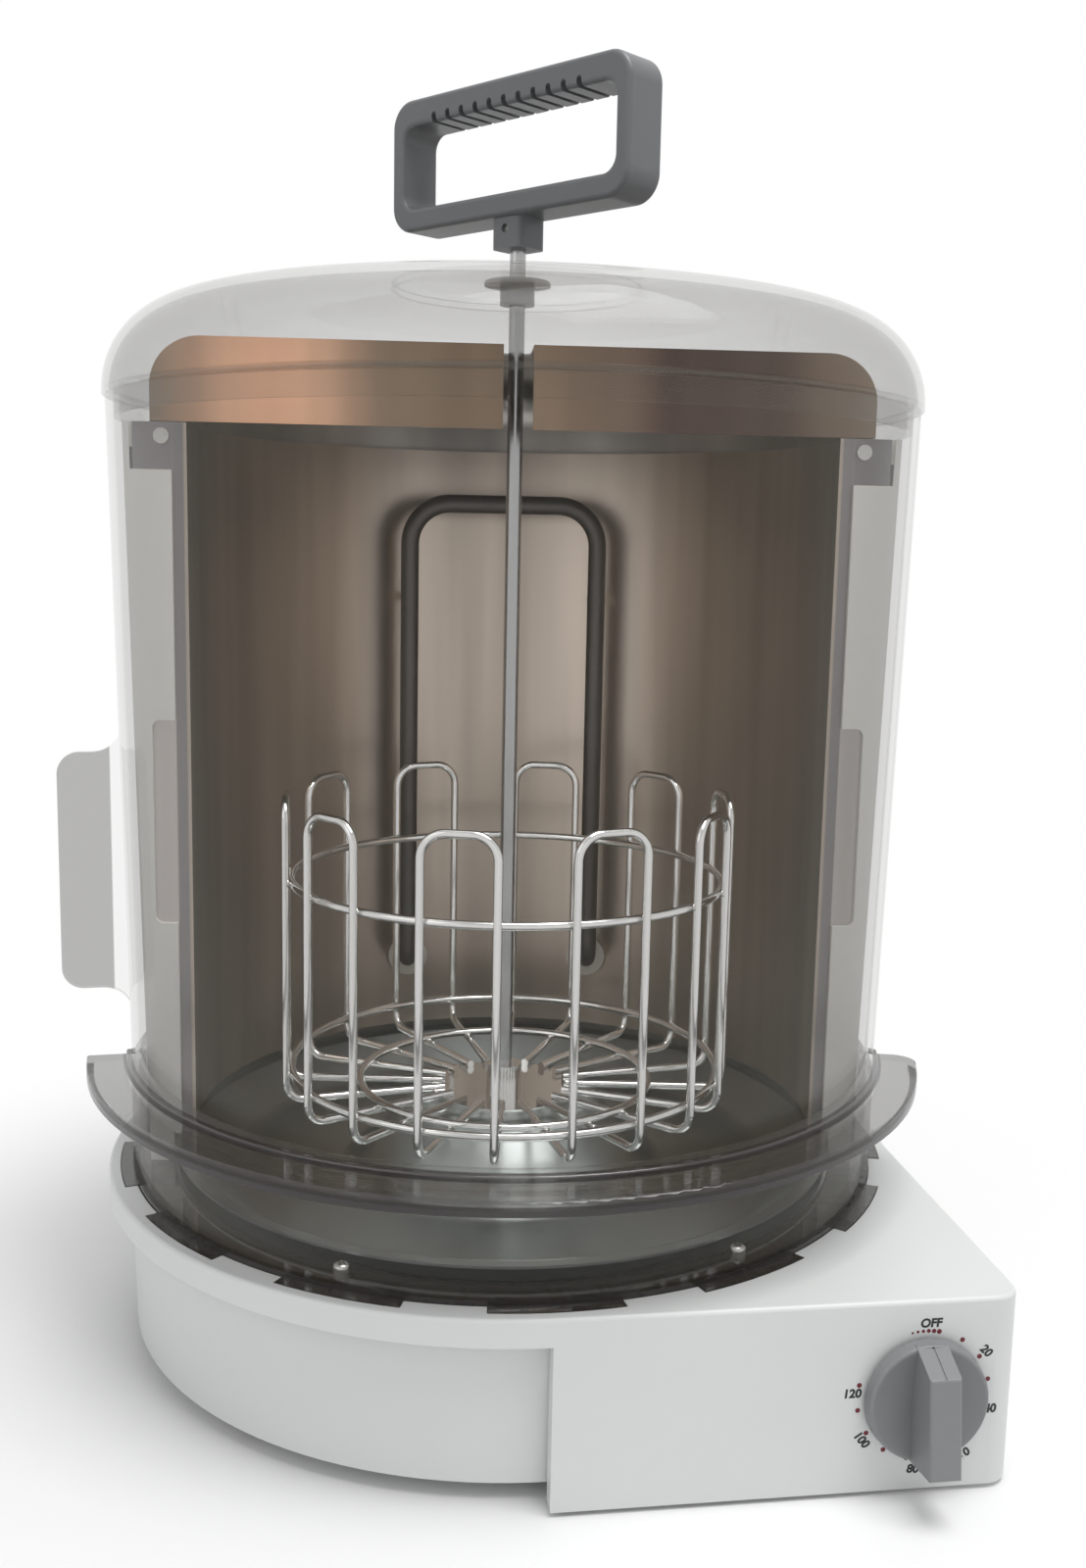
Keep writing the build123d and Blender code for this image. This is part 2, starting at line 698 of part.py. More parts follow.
with BuildPart() as timer_shaft:
    with BuildSketch(panel_face(TIMER_BACK_Y + TIMER_SHAFT_IN - FIT)):
        with Locations((KNOB_X, KNOB_Z)):
            Circle(TIMER_SHAFT_R)
    extrude(amount=TIMER_SHAFT_IN - FIT + SHELL + KNOB_GAP + KNOB_GRIP - FIT)
save(timer_shaft, "timer_shaft")

with BuildPart() as timer_knob:
    face_y = KNOB_BACK_Y - KNOB_DISC_T
    face_r = KNOB_R - KNOB_DRAFT
    with BuildSketch(panel_face(KNOB_BACK_Y)):
        with Locations((KNOB_X, KNOB_Z)):
            Circle(KNOB_R)
    with BuildSketch(panel_face(face_y)):
        with Locations((KNOB_X, KNOB_Z)):
            Circle(face_r)
    loft()
    fillet(timer_knob.edges().group_by(Axis.Y)[0], KNOB_EDGE_R)
    dish_out = sqrt(KNOB_DISH_R**2 - (face_r - KNOB_RIM) ** 2)
    with Locations((KNOB_X, face_y - dish_out, KNOB_Z)):
        Sphere(KNOB_DISH_R, mode=Mode.SUBTRACT)
    root_y = KNOB_BACK_Y - KNOB_BAR_ROOT
    shoulder_y = KNOB_BACK_Y - KNOB_SHOULDER
    nose_y = KNOB_BACK_Y - KNOB_NOSE_OUT
    nose_z = KNOB_Z + KNOB_NOSE_UP
    bar_reach = KNOB_R - KNOB_BAR_INSET
    with BuildSketch(Plane.YZ.offset(KNOB_X - KNOB_BAR_W / 2)):
        with BuildLine():
            Polyline(
                (root_y, KNOB_Z - bar_reach),
                (shoulder_y, KNOB_Z - bar_reach),
                (KNOB_BACK_Y - KNOB_HEEL_OUT, KNOB_Z - KNOB_HEEL_DOWN),
                (nose_y, nose_z),
                (shoulder_y, KNOB_Z + bar_reach),
                (root_y, KNOB_Z + bar_reach),
                close=True,
            )
        make_face()
    extrude(amount=KNOB_BAR_W)
    fillet(timer_knob.faces().sort_by(Axis.Y)[0].edges(), KNOB_EDGE_R)
    with BuildSketch(Plane.YZ.offset(KNOB_X - POINTER_W / 2)):
        with BuildLine():
            Polyline(
                (nose_y - KNOB_EDGE_R, nose_z),
                (nose_y + POINTER_DEPTH, nose_z),
                (shoulder_y + POINTER_DEPTH, KNOB_Z + bar_reach),
                (shoulder_y - KNOB_EDGE_R, KNOB_Z + bar_reach),
                close=True,
            )
        make_face()
    extrude(amount=POINTER_W, mode=Mode.SUBTRACT)
    with BuildSketch(panel_face(KNOB_BACK_Y)):
        with Locations((KNOB_X, KNOB_Z)):
            Circle(TIMER_SHAFT_R + RUN)
    extrude(amount=KNOB_GRIP, mode=Mode.SUBTRACT)
save(timer_knob, "timer_knob")

# Clear lower ring: tabbed foot, wall, and a rail inside the door's lower edge
with BuildPart() as lower_ring:
    with BuildSketch(Plane.XY.offset(SEAT_Z)):
        ring_plan(0)
        Circle(RING_IN_R, mode=Mode.SUBTRACT)
        with PolarLocations(RING_SCREW_CIRCLE_R, RING_SCREW_COUNT, start_angle=0):
            Circle(RING_SCREW_R + RUN, mode=Mode.SUBTRACT)
    extrude(amount=RING_FOOT_T)
    with BuildSketch(Plane.XZ):
        rail_r = DOOR_FOOT_R - DOOR_T - SLIDE_GAP
        block_profile(RING_R - RING_T, RING_R, SEAT_Z, RING_TOP_Z)
        block_profile(rail_r - RAIL_W, RING_R, RING_TOP_Z - RING_T, RING_TOP_Z)
        block_profile(rail_r - RAIL_W, rail_r, RING_TOP_Z - RING_T, RING_TOP_Z + RAIL_H)
    revolve(axis=Axis.Z)
save(lower_ring, "lower_ring")

with BuildPart() as ring_screws:
    with PolarLocations(RING_SCREW_CIRCLE_R, RING_SCREW_COUNT, start_angle=0):
        with Locations((0, 0, RING_FOOT_Z)):
            Cylinder(RING_SCREW_HEAD_R, RING_SCREW_HEAD_H, align=BOTTOM)
            Cylinder(
                RING_SCREW_R,
                RING_SCREW_LENGTH,
                align=(Align.CENTER, Align.CENTER, Align.MAX),
            )
    heads = ring_screws.edges().group_by(Axis.Z)[-1]
    fillet(heads, RING_SCREW_HEAD_H / 2)
    with PolarLocations(RING_SCREW_CIRCLE_R, RING_SCREW_COUNT, start_angle=0):
        with Locations((0, 0, RING_FOOT_Z + RING_SCREW_HEAD_H)):
            Box(CROSS_L, CROSS_W, 2 * CROSS_DEPTH, mode=Mode.SUBTRACT)
            Box(CROSS_W, CROSS_L, 2 * CROSS_DEPTH, mode=Mode.SUBTRACT)
save(ring_screws, "ring_screws")

# The hollow of the rear housing, with the cheeks' slab left out of it
with BuildPart() as housing_hollow:
    with BuildSketch(Plane.XZ):
        filled_profile(lambda z: housing_radius(z) - HOUSING_T, HOUSING_LOW_Z, HOUSING_TOP_Z)
    revolve(axis=Axis.Z)
    with BuildSketch(mouth_level(HOUSING_LOW_Z)):
        with Locations((0, -MOUTH_BACK)):
            Rectangle(2 * SPAN, SPAN, align=(Align.CENTER, Align.MAX))
    extrude(amount=CHEEK_TOP_Z - HOUSING_LOW_Z, mode=Mode.SUBTRACT)

# Rear housing: a moulded shell with a cheek at each side of the mouth
with BuildPart() as rear_housing:
    with BuildSketch(Plane.XZ):
        filled_profile(housing_radius, HOUSING_LOW_Z, HOUSING_TOP_Z)
    revolve(axis=Axis.Z)
    add(housing_hollow.part, mode=Mode.SUBTRACT)
    with BuildSketch(mouth_level(HOUSING_LOW_Z)):
        with Locations((0, -MOUTH_FRONT)):
            Rectangle(2 * SPAN, SPAN, align=(Align.CENTER, Align.MAX))
        Rectangle(2 * CHEEK_IN, 2 * MOUTH_FRONT)
    extrude(amount=HOUSING_TOP_Z - HOUSING_LOW_Z, mode=Mode.SUBTRACT)
    with BuildSketch(mouth_face(-MOUTH_BACK)):
        with Locations((0, (NOTCH_LOW_Z + NOTCH_HIGH_Z) / 2)):
            RectangleRounded(
                2 * (CHEEK_IN + NOTCH_W), NOTCH_HIGH_Z - NOTCH_LOW_Z, NOTCH_CORNER_R
            )
    extrude(amount=CHEEK_T, mode=Mode.SUBTRACT)
    # the cheeks' feet stand clear of the turning pan
    with BuildSketch(mouth_level(HOUSING_LOW_Z)):
        Circle(RING_IN_R)
    extrude(amount=REFLECTOR_LOW_Z - HOUSING_LOW_Z, mode=Mode.SUBTRACT)
    # ledge that carries the hood and the dome, round the back half
    with BuildSketch(mouth_level(HOUSING_TOP_Z - HOUSING_T)):
        Circle(housing_radius(HOUSING_TOP_Z - HOUSING_T) - HOUSING_T / 2)
        Circle(LEDGE_R, mode=Mode.SUBTRACT)
        Rectangle(2 * SPAN, SPAN, align=(Align.CENTER, Align.MAX), mode=Mode.SUBTRACT)
        with Locations(*[polar(DOME_POST_CIRCLE_R, a, 0)[:2] for a in DOME_POST_ANGLES]):
            Circle(DOME_SCREW_R + RUN, mode=Mode.SUBTRACT)
    extrude(amount=HOUSING_T)
    # lugs behind the reflector's wings
    with BuildSketch(mouth_level(HOUSING_TOP_Z - LUG_H)):
        Circle(housing_radius(HOUSING_TOP_Z - LUG_H) - HOUSING_T / 2)
        with Locations((WING_SCREW_X - LUG_W / 2, -MOUTH_Y)):
            Rectangle(SPAN, LUG_D, align=(Align.MIN, Align.MIN), mode=Mode.INTERSECT)
        mirror(about=Plane.YZ)
    extrude(amount=LUG_H)
    with BuildSketch(mouth_face(-MOUTH_Y)):
        with Locations((WING_SCREW_X, WING_SCREW_Z), (-WING_SCREW_X, WING_SCREW_Z)):
            Circle(WING_SCREW_R + RUN)
    extrude(amount=-WING_SCREW_LENGTH, mode=Mode.SUBTRACT)
save(rear_housing, "rear_housing")

# Polished reflector: one bent sheet whose wings lie behind the cheeks
with BuildPart() as reflector:
    with BuildSketch(mouth_level(REFLECTOR_LOW_Z)):
        Circle(REFLECTOR_R)
        Circle(REFLECTOR_R - SHEET, mode=Mode.SUBTRACT)
        with Locations((0, -MOUTH_BACK)):
            Rectangle(
                2 * SPAN, SPAN, align=(Align.CENTER, Align.MAX), mode=Mode.SUBTRACT
            )
        wing_root = sqrt((REFLECTOR_R - SHEET) ** 2 - MOUTH_Y**2)
        with Locations((wing_root, -MOUTH_BACK)):
            Rectangle(REFLECTOR_WING - wing_root, SHEET, align=(Align.MIN, Align.MIN))
        with Locations((-wing_root, -MOUTH_BACK)):
            Rectangle(REFLECTOR_WING - wing_root, SHEET, align=(Align.MAX, Align.MIN))
    extrude(amount=REFLECTOR_TOP_Z - REFLECTOR_LOW_Z)
    # ears that close the corners above the cheeks
    with BuildSketch(mouth_level(CHEEK_TOP_Z)):
        with Locations((REFLECTOR_R, -MOUTH_BACK)):
            Rectangle(EAR_W, SHEET, align=(Align.MIN, Align.MIN))
        with Locations((-REFLECTOR_R, -MOUTH_BACK)):
            Rectangle(EAR_W, SHEET, align=(Align.MAX, Align.MIN))
    extrude(amount=REFLECTOR_TOP_Z - CHEEK_TOP_Z)
    with BuildSketch(mouth_face(0)):
        with Locations((HEATER_X, HEATER_LOW_Z), (-HEATER_X, HEATER_LOW_Z)):
            Circle(BUSH_R + RUN)
    extrude(amount=-REFLECTOR_R, mode=Mode.SUBTRACT)
    with BuildSketch(mouth_face(-MOUTH_BACK)):
        with Locations((WING_SCREW_X, WING_SCREW_Z), (-WING_SCREW_X, WING_SCREW_Z)):
            Circle(WING_SCREW_R + RUN)
    extrude(amount=-SHEET, mode=Mode.SUBTRACT)
save(reflector, "reflector")

# Screws through the reflector's wings into the housing's lugs
with BuildPart() as wing_screws:
    with BuildSketch(mouth_face(-MOUTH_BACK)):
        with Locations((WING_SCREW_X, WING_SCREW_Z), (-WING_SCREW_X, WING_SCREW_Z)):
            Circle(WING_SCREW_HEAD_R)
    extrude(amount=WING_SCREW_HEAD_H)
    with BuildSketch(mouth_face(-MOUTH_BACK)):
        with Locations((WING_SCREW_X, WING_SCREW_Z), (-WING_SCREW_X, WING_SCREW_Z)):
            Circle(WING_SCREW_R)
    extrude(amount=-(SHEET + WING_SCREW_LENGTH - FIT))
save(wing_screws, "wing_screws")

# Hood: a shallow half pan of polished sheet over the cavity, slotted for the spit
with BuildPart() as hood_hollow:
    with BuildSketch(Plane.XZ):
        hood_profile(SHEET)
    revolve(axis=Axis.Z)
    with BuildSketch(mouth_level(HOOD_LOW_Z)):
        with Locations((0, -MOUTH_Y)):
            Rectangle(2 * SPAN, SPAN, align=(Align.CENTER, Align.MAX))
    extrude(amount=HOOD_TOP_Z - HOOD_LOW_Z, mode=Mode.SUBTRACT)

with BuildPart() as reflector_hood:
    with BuildSketch(Plane.XZ):
        hood_profile(0)
    revolve(axis=Axis.Z)
    with BuildSketch(mouth_level(HOOD_LOW_Z)):
        with Locations((0, -MOUTH_BACK)):
            Rectangle(2 * SPAN, SPAN, align=(Align.CENTER, Align.MAX))
        Circle(HOOD_SLOT_W / 2)
        Rectangle(HOOD_SLOT_W, SPAN, align=(Align.CENTER, Align.MAX))
    extrude(amount=HOOD_TOP_Z - HOOD_LOW_Z, mode=Mode.SUBTRACT)
    add(hood_hollow.part, mode=Mode.SUBTRACT)
save(reflector_hood, "reflector_hood")

# Tubular heater: one hairpin whose tails leave through the reflector
with BuildPart() as heater_element:
    tail_y = BUSH_Y + HEATER_TAIL_OUT
    with BuildLine(mouth_level(0)) as heater_path:
        FilletPolyline(
            (-HEATER_X, tail_y, HEATER_LOW_Z),
            (-HEATER_X, HEATER_Y, HEATER_LOW_Z),
            (-HEATER_X, HEATER_Y, HEATER_HIGH_Z),
            (HEATER_X, HEATER_Y, HEATER_HIGH_Z),
            (HEATER_X, HEATER_Y, HEATER_LOW_Z),
            (HEATER_X, tail_y, HEATER_LOW_Z),
            radius=[HEATER_TAIL_R, HEATER_BEND_R, HEATER_BEND_R, HEATER_TAIL_R],
        )
    heater_wire = heater_path.wires()[0]
    with BuildSketch(Plane(heater_wire @ 0, z_dir=heater_wire % 0)):
        Circle(HEATER_R)
    sweep(path=heater_wire)
save(heater_element, "heater_element")

with BuildPart() as heater_bushes:
    with BuildSketch(mouth_face(BUSH_Y - BUSH_DEPTH / 2)):
        with Locations((HEATER_X, HEATER_LOW_Z), (-HEATER_X, HEATER_LOW_Z)):
            Circle(BUSH_R)
    extrude(amount=-BUSH_DEPTH)
    with BuildSketch(mouth_face(BUSH_Y - BUSH_DEPTH / 2)):
        with Locations((HEATER_X, HEATER_LOW_Z), (-HEATER_X, HEATER_LOW_Z)):
            Circle(BUSH_FLANGE_R)
    extrude(amount=-BUSH_FLANGE_T)
    with BuildSketch(mouth_face(BUSH_Y - BUSH_DEPTH / 2)):
        with Locations((HEATER_X, HEATER_LOW_Z), (-HEATER_X, HEATER_LOW_Z)):
            Circle(HEATER_R + RUN)
    extrude(amount=-BUSH_DEPTH, mode=Mode.SUBTRACT)
save(heater_bushes, "heater_bushes")

with BuildPart() as heater_clips:
    clip_front = HEATER_Y + HEATER_R + FIT
    clip_back = sqrt((REFLECTOR_R - SHEET) ** 2 - (HEATER_X + CLIP_W / 2) ** 2) - FIT
    with BuildSketch(mouth_face(clip_front)):
        with Locations((HEATER_X, CLIP_Z), (-HEATER_X, CLIP_Z)):
            Rectangle(CLIP_W, CLIP_H)
    extrude(amount=clip_front - clip_back)
save(heater_clips, "heater_clips")

# Thermal cut-out on the reflector's back
with BuildPart() as thermal_cutout:
    with BuildSketch(mouth_face(REFLECTOR_R + FIT)):
        with Locations((0, CUTOUT_Z)):
            Circle(CUTOUT_R)
    extrude(amount=-CUTOUT_H)
save(thermal_cutout, "thermal_cutout")

# Dome: a clear cap with a spigot inside the door's top edge and posts to the housing
with BuildPart() as dome_posts:
    with BuildSketch(mouth_level(HOUSING_TOP_Z)):
        with Locations(*[polar(DOME_POST_CIRCLE_R, a, 0)[:2] for a in DOME_POST_ANGLES]):
            Circle(DOME_POST_R)
    extrude(amount=DOME_DISC_Z - HOUSING_TOP_Z)
    with BuildSketch(Plane.XZ):
        dome_profile(DOME_T / 2, HOUSING_TOP_Z)
    revolve(axis=Axis.Z, mode=Mode.INTERSECT)

with BuildPart() as dome_cap:
    with BuildSketch(Plane.XZ):
        dome_profile(0, DOME_LOW_Z)
        with BuildSketch(Plane.XY, mode=Mode.SUBTRACT):
            dome_profile(DOME_T, DOME_LOW_Z)
        block_profile(
            SPIGOT_R - SPIGOT_T, SPIGOT_R, DOME_LOW_Z - SPIGOT_H, DOME_LOW_Z + SPIGOT_WEB
        )
        block_profile(
            SPIGOT_R - SPIGOT_T, DOME_R - DOME_T / 2, DOME_LOW_Z, DOME_LOW_Z + SPIGOT_WEB
        )
    revolve(axis=Axis.Z)
    add(dome_posts.part)
    with BuildSketch(mouth_level(HOUSING_TOP_Z)):
        with Locations(*[polar(DOME_POST_CIRCLE_R, a, 0)[:2] for a in DOME_POST_ANGLES]):
            Circle(DOME_SCREW_R + RUN)
    extrude(amount=DOME_SCREW_LENGTH, mode=Mode.SUBTRACT)
    with BuildSketch(Plane.XY.offset(DOME_DISC_Z)):
        Circle(BUSHING_NECK_R + RUN)
    extrude(amount=-2 * DOME_T, mode=Mode.SUBTRACT)
save(dome_cap, "dome_cap")

with BuildPart() as dome_screws:
    ledge_under = HOUSING_TOP_Z - HOUSING_T
    with BuildSketch(mouth_level(ledge_under)):
        with Locations(*[polar(DOME_POST_CIRCLE_R, a, 0)[:2] for a in DOME_POST_ANGLES]):
            Circle(DOME_SCREW_HEAD_R)
    extrude(amount=-DOME_SCREW_HEAD_T)
    with BuildSketch(mouth_level(ledge_under)):
        with Locations(*[polar(DOME_POST_CIRCLE_R, a, 0)[:2] for a in DOME_POST_ANGLES]):
            Circle(DOME_SCREW_R)
    extrude(amount=HOUSING_T + DOME_SCREW_LENGTH - FIT)
save(dome_screws, "dome_screws")

# Bushing that guides the spit through the dome
with BuildPart() as dome_bushing:
    with Locations((0, 0, DOME_DISC_Z)):
        Cylinder(BUSHING_R, BUSHING_FLANGE_T, align=BOTTOM)
        Cylinder(
            BUSHING_NECK_R,
            BUSHING_NECK_H,
            align=(Align.CENTER, Align.CENTER, Align.MAX),
        )
    fillet(dome_bushing.edges().group_by(Axis.Z)[-1], BUSHING_FLANGE_T / 2)
    with Locations((0, 0, DOME_DISC_Z - BUSHING_NECK_H)):
        Cylinder(
            ROD_R + BUSHING_SLACK,
            BUSHING_NECK_H + BUSHING_FLANGE_T,
            align=BOTTOM,
            mode=Mode.SUBTRACT,
        )
save(dome_bushing, "dome_bushing")

# Door: a clear tapered wall with a flange at its foot and a fin to pull it round
with BuildPart() as door:
    with BuildSketch(meridian(DOOR_START)) as door_section:
        wall_profile(door_radius, DOOR_T, DOOR_LOW_Z, DOOR_TOP_Z)
        block_profile(DOOR_FOOT_R - DOOR_T, FLANGE_R, DOOR_LOW_Z, FLANGE_Z)
        block_profile(FLANGE_R - FLANGE_T, FLANGE_R, FLANGE_Z - FLANGE_LIP_H, FLANGE_Z)
        block_profile(
            DOOR_FOOT_R - DOOR_T / 2, DOOR_FOOT_R + BEAD_W, FLANGE_Z, FLANGE_Z + BEAD_H
        )
        bead_corner = (DOOR_FOOT_R + BEAD_W, FLANGE_Z + BEAD_H)
        fillet(door_section.vertices().sort_by_distance(bead_corner)[0], BEAD_EDGE_R)
        fillet(door_section.vertices().sort_by_distance((FLANGE_R, FLANGE_Z))[0], FLANGE_EDGE_R)
    revolve(axis=Axis.Z, revolution_arc=DOOR_ARC)
    far_end = meridian(DOOR_START + DOOR_ARC)
    corner_plane = Plane(
        polar(FLANGE_R, DOOR_START + DOOR_ARC, FLANGE_Z), x_dir=far_end.x_dir, z_dir=(0, 0, 1)
    )
    with BuildSketch(corner_plane):
        Rectangle(2 * FLANGE_CORNER_R, 2 * FLANGE_CORNER_R)
        with Locations((-FLANGE_CORNER_R, -FLANGE_CORNER_R)):
            Circle(FLANGE_CORNER_R, mode=Mode.SUBTRACT)
            Rectangle(2 * FLANGE_CORNER_R, 2 * FLANGE_CORNER_R, align=Align.MAX, mode=Mode.SUBTRACT)
    extrude(amount=-FLANGE_LIP_H, mode=Mode.SUBTRACT)
    with BuildSketch(meridian(DOOR_START)):
        fin_profile()
    extrude(amount=-FIN_T)
save(door, "door")

# Drive: axle from the gearmotor and the coupling that carries the pan and the spit
with BuildPart() as drive_axle:
    axle_low = MOTOR_PLATE_Z - AXLE_GRIP + FIT
    with Locations((0, 0, axle_low)):
        Cylinder(AXLE_R, AXLE_TOP_Z - axle_low, align=BOTTOM)
save(drive_axle, "drive_axle")

with BuildPart() as drive_coupling:
    with BuildSketch(Plane.XZ):
        block_profile(0, COUPLING_R, COUPLING_LOW_Z, COUPLING_LOW_Z + COUPLING_FLANGE_T)
        block_profile(0, COUPLING_WAIST_R, COUPLING_LOW_Z, COUPLING_TOP_Z)
        block_profile(0, COUPLING_R, COUPLING_TOP_Z - COUPLING_FLANGE_T, COUPLING_TOP_Z)
    revolve(axis=Axis.Z)
    with Locations((0, 0, COUPLING_LOW_Z)):
        Cylinder(
            AXLE_R + RUN,
            AXLE_TOP_Z + FIT - COUPLING_LOW_Z,
            align=BOTTOM,
            mode=Mode.SUBTRACT,
        )
    with Locations((0, 0, ROD_FOOT_Z - FIT)):
        Cylinder(
            ROD_R + RUN,
            COUPLING_TOP_Z - ROD_FOOT_Z + FIT,
            align=BOTTOM,
            mode=Mode.SUBTRACT,
        )
save(drive_coupling, "drive_coupling")

# Drip pan: a spun ring trough whose raised middle sits on the coupling
with BuildPart() as drip_pan:
    with BuildSketch(Plane.XZ):
        with BuildLine():
            FilletPolyline(
                (PAN_RIM_R, PAN_RIM_Z),
                (PAN_RIM_R - PAN_RIM_W, PAN_RIM_Z),
                (PAN_FLOOR_OUT_R, PAN_FLOOR_Z),
                (PAN_FLOOR_IN_R, PAN_FLOOR_Z),
                (PAN_BOSS_R, PAN_BOSS_Z),
                (PAN_BOSS_HOLE_R, PAN_BOSS_Z),
                radius=[PAN_RIM_BEND_R, PAN_BEND_R, PAN_BEND_R, PAN_BEND_R],
            )
            offset(amount=PAN_T, side=Side.LEFT)
        make_face()
    revolve(axis=Axis.Z)
save(drip_pan, "drip_pan")

# Wire rack: hairpins welded to rings and to a hub that sits on the pan's middle
with BuildPart() as rack_hairpin:
    left, right = -HAIRPIN_ARC / 2, HAIRPIN_ARC / 2
    with BuildLine() as hairpin_path:
        FilletPolyline(
            polar(RACK_FOOT_IN_R, left, RACK_FLOOR_Z),
            polar(RACK_R, left, RACK_FLOOR_Z),
            polar(RACK_R, left, RACK_TOP_Z),
            polar(RACK_R, right, RACK_TOP_Z),
            polar(RACK_R, right, RACK_FLOOR_Z),
            polar(RACK_FOOT_IN_R, right, RACK_FLOOR_Z),
            radius=[HAIRPIN_FOOT_R, HAIRPIN_TOP_R, HAIRPIN_TOP_R, HAIRPIN_FOOT_R],
        )
    hairpin_wire = hairpin_path.wires()[0]
    with BuildSketch(Plane(hairpin_wire @ 0, z_dir=hairpin_wire % 0)):
        Circle(WIRE_R)
    sweep(path=hairpin_wire)

with BuildPart() as rack_hairpins:
    with PolarLocations(0, HAIRPIN_COUNT):
        add(rack_hairpin.part)
save(rack_hairpins, "rack_hairpins")

with BuildPart() as rack_rings:
    inside_legs = RACK_R - 2 * WIRE_R + WELD
    on_spokes = RACK_FLOOR_Z + 2 * WIRE_R - WELD
    with Locations((0, 0, RACK_RING_Z), (0, 0, on_spokes + HAIRPIN_FOOT_R)):
        Torus(inside_legs, WIRE_R)
    with Locations((0, 0, on_spokes)):
        Torus(RACK_INNER_RING_R, WIRE_R)
save(rack_rings, "rack_rings")

with BuildPart() as rack_hub:
    with Locations((0, 0, PAN_BOSS_Z)):
        Cylinder(HUB_R, HUB_T, align=BOTTOM)
        Cylinder(HUB_COLLAR_R, HUB_COLLAR_H, align=BOTTOM)
        Cylinder(ROD_R + RUN, HUB_COLLAR_H, align=BOTTOM, mode=Mode.SUBTRACT)
save(rack_hub, "rack_hub")

# Spit: the rod, its lifting handle and the pin that holds them together
with BuildPart() as spit_rod:
    with Locations((0, 0, ROD_FOOT_Z)):
        Cylinder(ROD_R, ROD_TOP_Z - ROD_FOOT_Z, align=BOTTOM)
    chamfer(spit_rod.edges().group_by(Axis.Z)[0], ROD_CHAMFER)
    with BuildSketch(meridian(HANDLE_TURN)):
        with Locations((0, PIN_Z)):
            Circle(PIN_R + RUN)
    extrude(amount=ROD_R, both=True, mode=Mode.SUBTRACT)
save(spit_rod, "spit_rod")

with BuildPart() as lift_handle:
    window_h = HANDLE_H - HANDLE_TOP_BAR - HANDLE_LOW_BAR
    grip_under = HANDLE_LOW_Z + HANDLE_LOW_BAR + window_h
    with BuildSketch(meridian(HANDLE_TURN)):
        with Locations((0, HANDLE_LOW_Z + HANDLE_H / 2)):
            RectangleRounded(HANDLE_L, HANDLE_H, HANDLE_CORNER_R)
        with Locations((0, grip_under - window_h / 2)):
            RectangleRounded(
                HANDLE_L - 2 * HANDLE_END_BAR,
                window_h,
                HANDLE_WINDOW_R,
                mode=Mode.SUBTRACT,
            )
    extrude(amount=HANDLE_W / 2, both=True)
    across = Axis((0, 0, 0), meridian(HANDLE_TURN).z_dir)
    sides = lift_handle.faces().sort_by(across)
    fillet(sides[0].edges() + sides[-1].edges(), HANDLE_EDGE_R)
    with BuildSketch(meridian(HANDLE_TURN)):
        with Locations((0, grip_under)):
            with GridLocations(GRIP_PITCH, 0, GRIP_GROOVES, 1):
                SlotOverall(2 * GRIP_GROOVE_DEPTH, GRIP_GROOVE_W, rotation=90)
    extrude(amount=HANDLE_W / 2, both=True, mode=Mode.SUBTRACT)
    boss_top = HANDLE_LOW_Z + HANDLE_LOW_BAR - HANDLE_EDGE_R
    with BuildSketch(Plane.XY.offset(HANDLE_BOSS_LOW_Z)):
        RectangleRounded(
            HANDLE_BOSS_L, HANDLE_W - 2 * HANDLE_EDGE_R, HANDLE_BOSS_R, rotation=HANDLE_TURN
        )
    extrude(amount=boss_top - HANDLE_BOSS_LOW_Z)
    with Locations((0, 0, HANDLE_BOSS_LOW_Z)):
        Cylinder(
            ROD_R + RUN,
            ROD_TOP_Z + FIT - HANDLE_BOSS_LOW_Z,
            align=BOTTOM,
            mode=Mode.SUBTRACT,
        )
    with BuildSketch(meridian(HANDLE_TURN)):
        with Locations((0, PIN_Z)):
            Circle(PIN_R + RUN)
    extrude(amount=HANDLE_W / 2, both=True, mode=Mode.SUBTRACT)
save(lift_handle, "lift_handle")

with BuildPart() as handle_pin:
    with BuildSketch(meridian(HANDLE_TURN)):
        with Locations((0, PIN_Z)):
            Circle(PIN_R)
    extrude(amount=HANDLE_W / 2 - HANDLE_EDGE_R - PIN_RECESS, both=True)
save(handle_pin, "handle_pin")
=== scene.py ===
from math import cos, pi, radians, sin

import bmesh
import bpy
from mathutils import Matrix, Vector


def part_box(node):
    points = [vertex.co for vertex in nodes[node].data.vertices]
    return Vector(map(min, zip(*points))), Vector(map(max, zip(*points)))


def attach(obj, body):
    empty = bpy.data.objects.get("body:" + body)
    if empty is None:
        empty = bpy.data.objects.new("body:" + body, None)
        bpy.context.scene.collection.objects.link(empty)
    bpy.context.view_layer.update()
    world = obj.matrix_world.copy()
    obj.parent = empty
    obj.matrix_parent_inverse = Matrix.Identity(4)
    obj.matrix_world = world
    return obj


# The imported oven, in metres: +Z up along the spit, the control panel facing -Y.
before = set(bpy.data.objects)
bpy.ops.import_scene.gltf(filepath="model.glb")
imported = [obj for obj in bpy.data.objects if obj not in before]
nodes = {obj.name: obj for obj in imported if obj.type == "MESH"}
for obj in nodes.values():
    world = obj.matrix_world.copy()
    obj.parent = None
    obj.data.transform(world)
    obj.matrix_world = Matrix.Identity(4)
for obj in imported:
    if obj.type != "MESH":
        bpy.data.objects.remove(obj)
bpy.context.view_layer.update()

# Moulded plastic: a faint mottle in the gloss and colour, and a fine grain in the surface,
# shared by the base, the housing, the handle and the knob.
GRAIN_HEIGHT = 0.0004
GRAIN_DETAIL = 3.0
MOTTLE_SCALE = 14.0
MOTTLE_DETAIL = 4.0


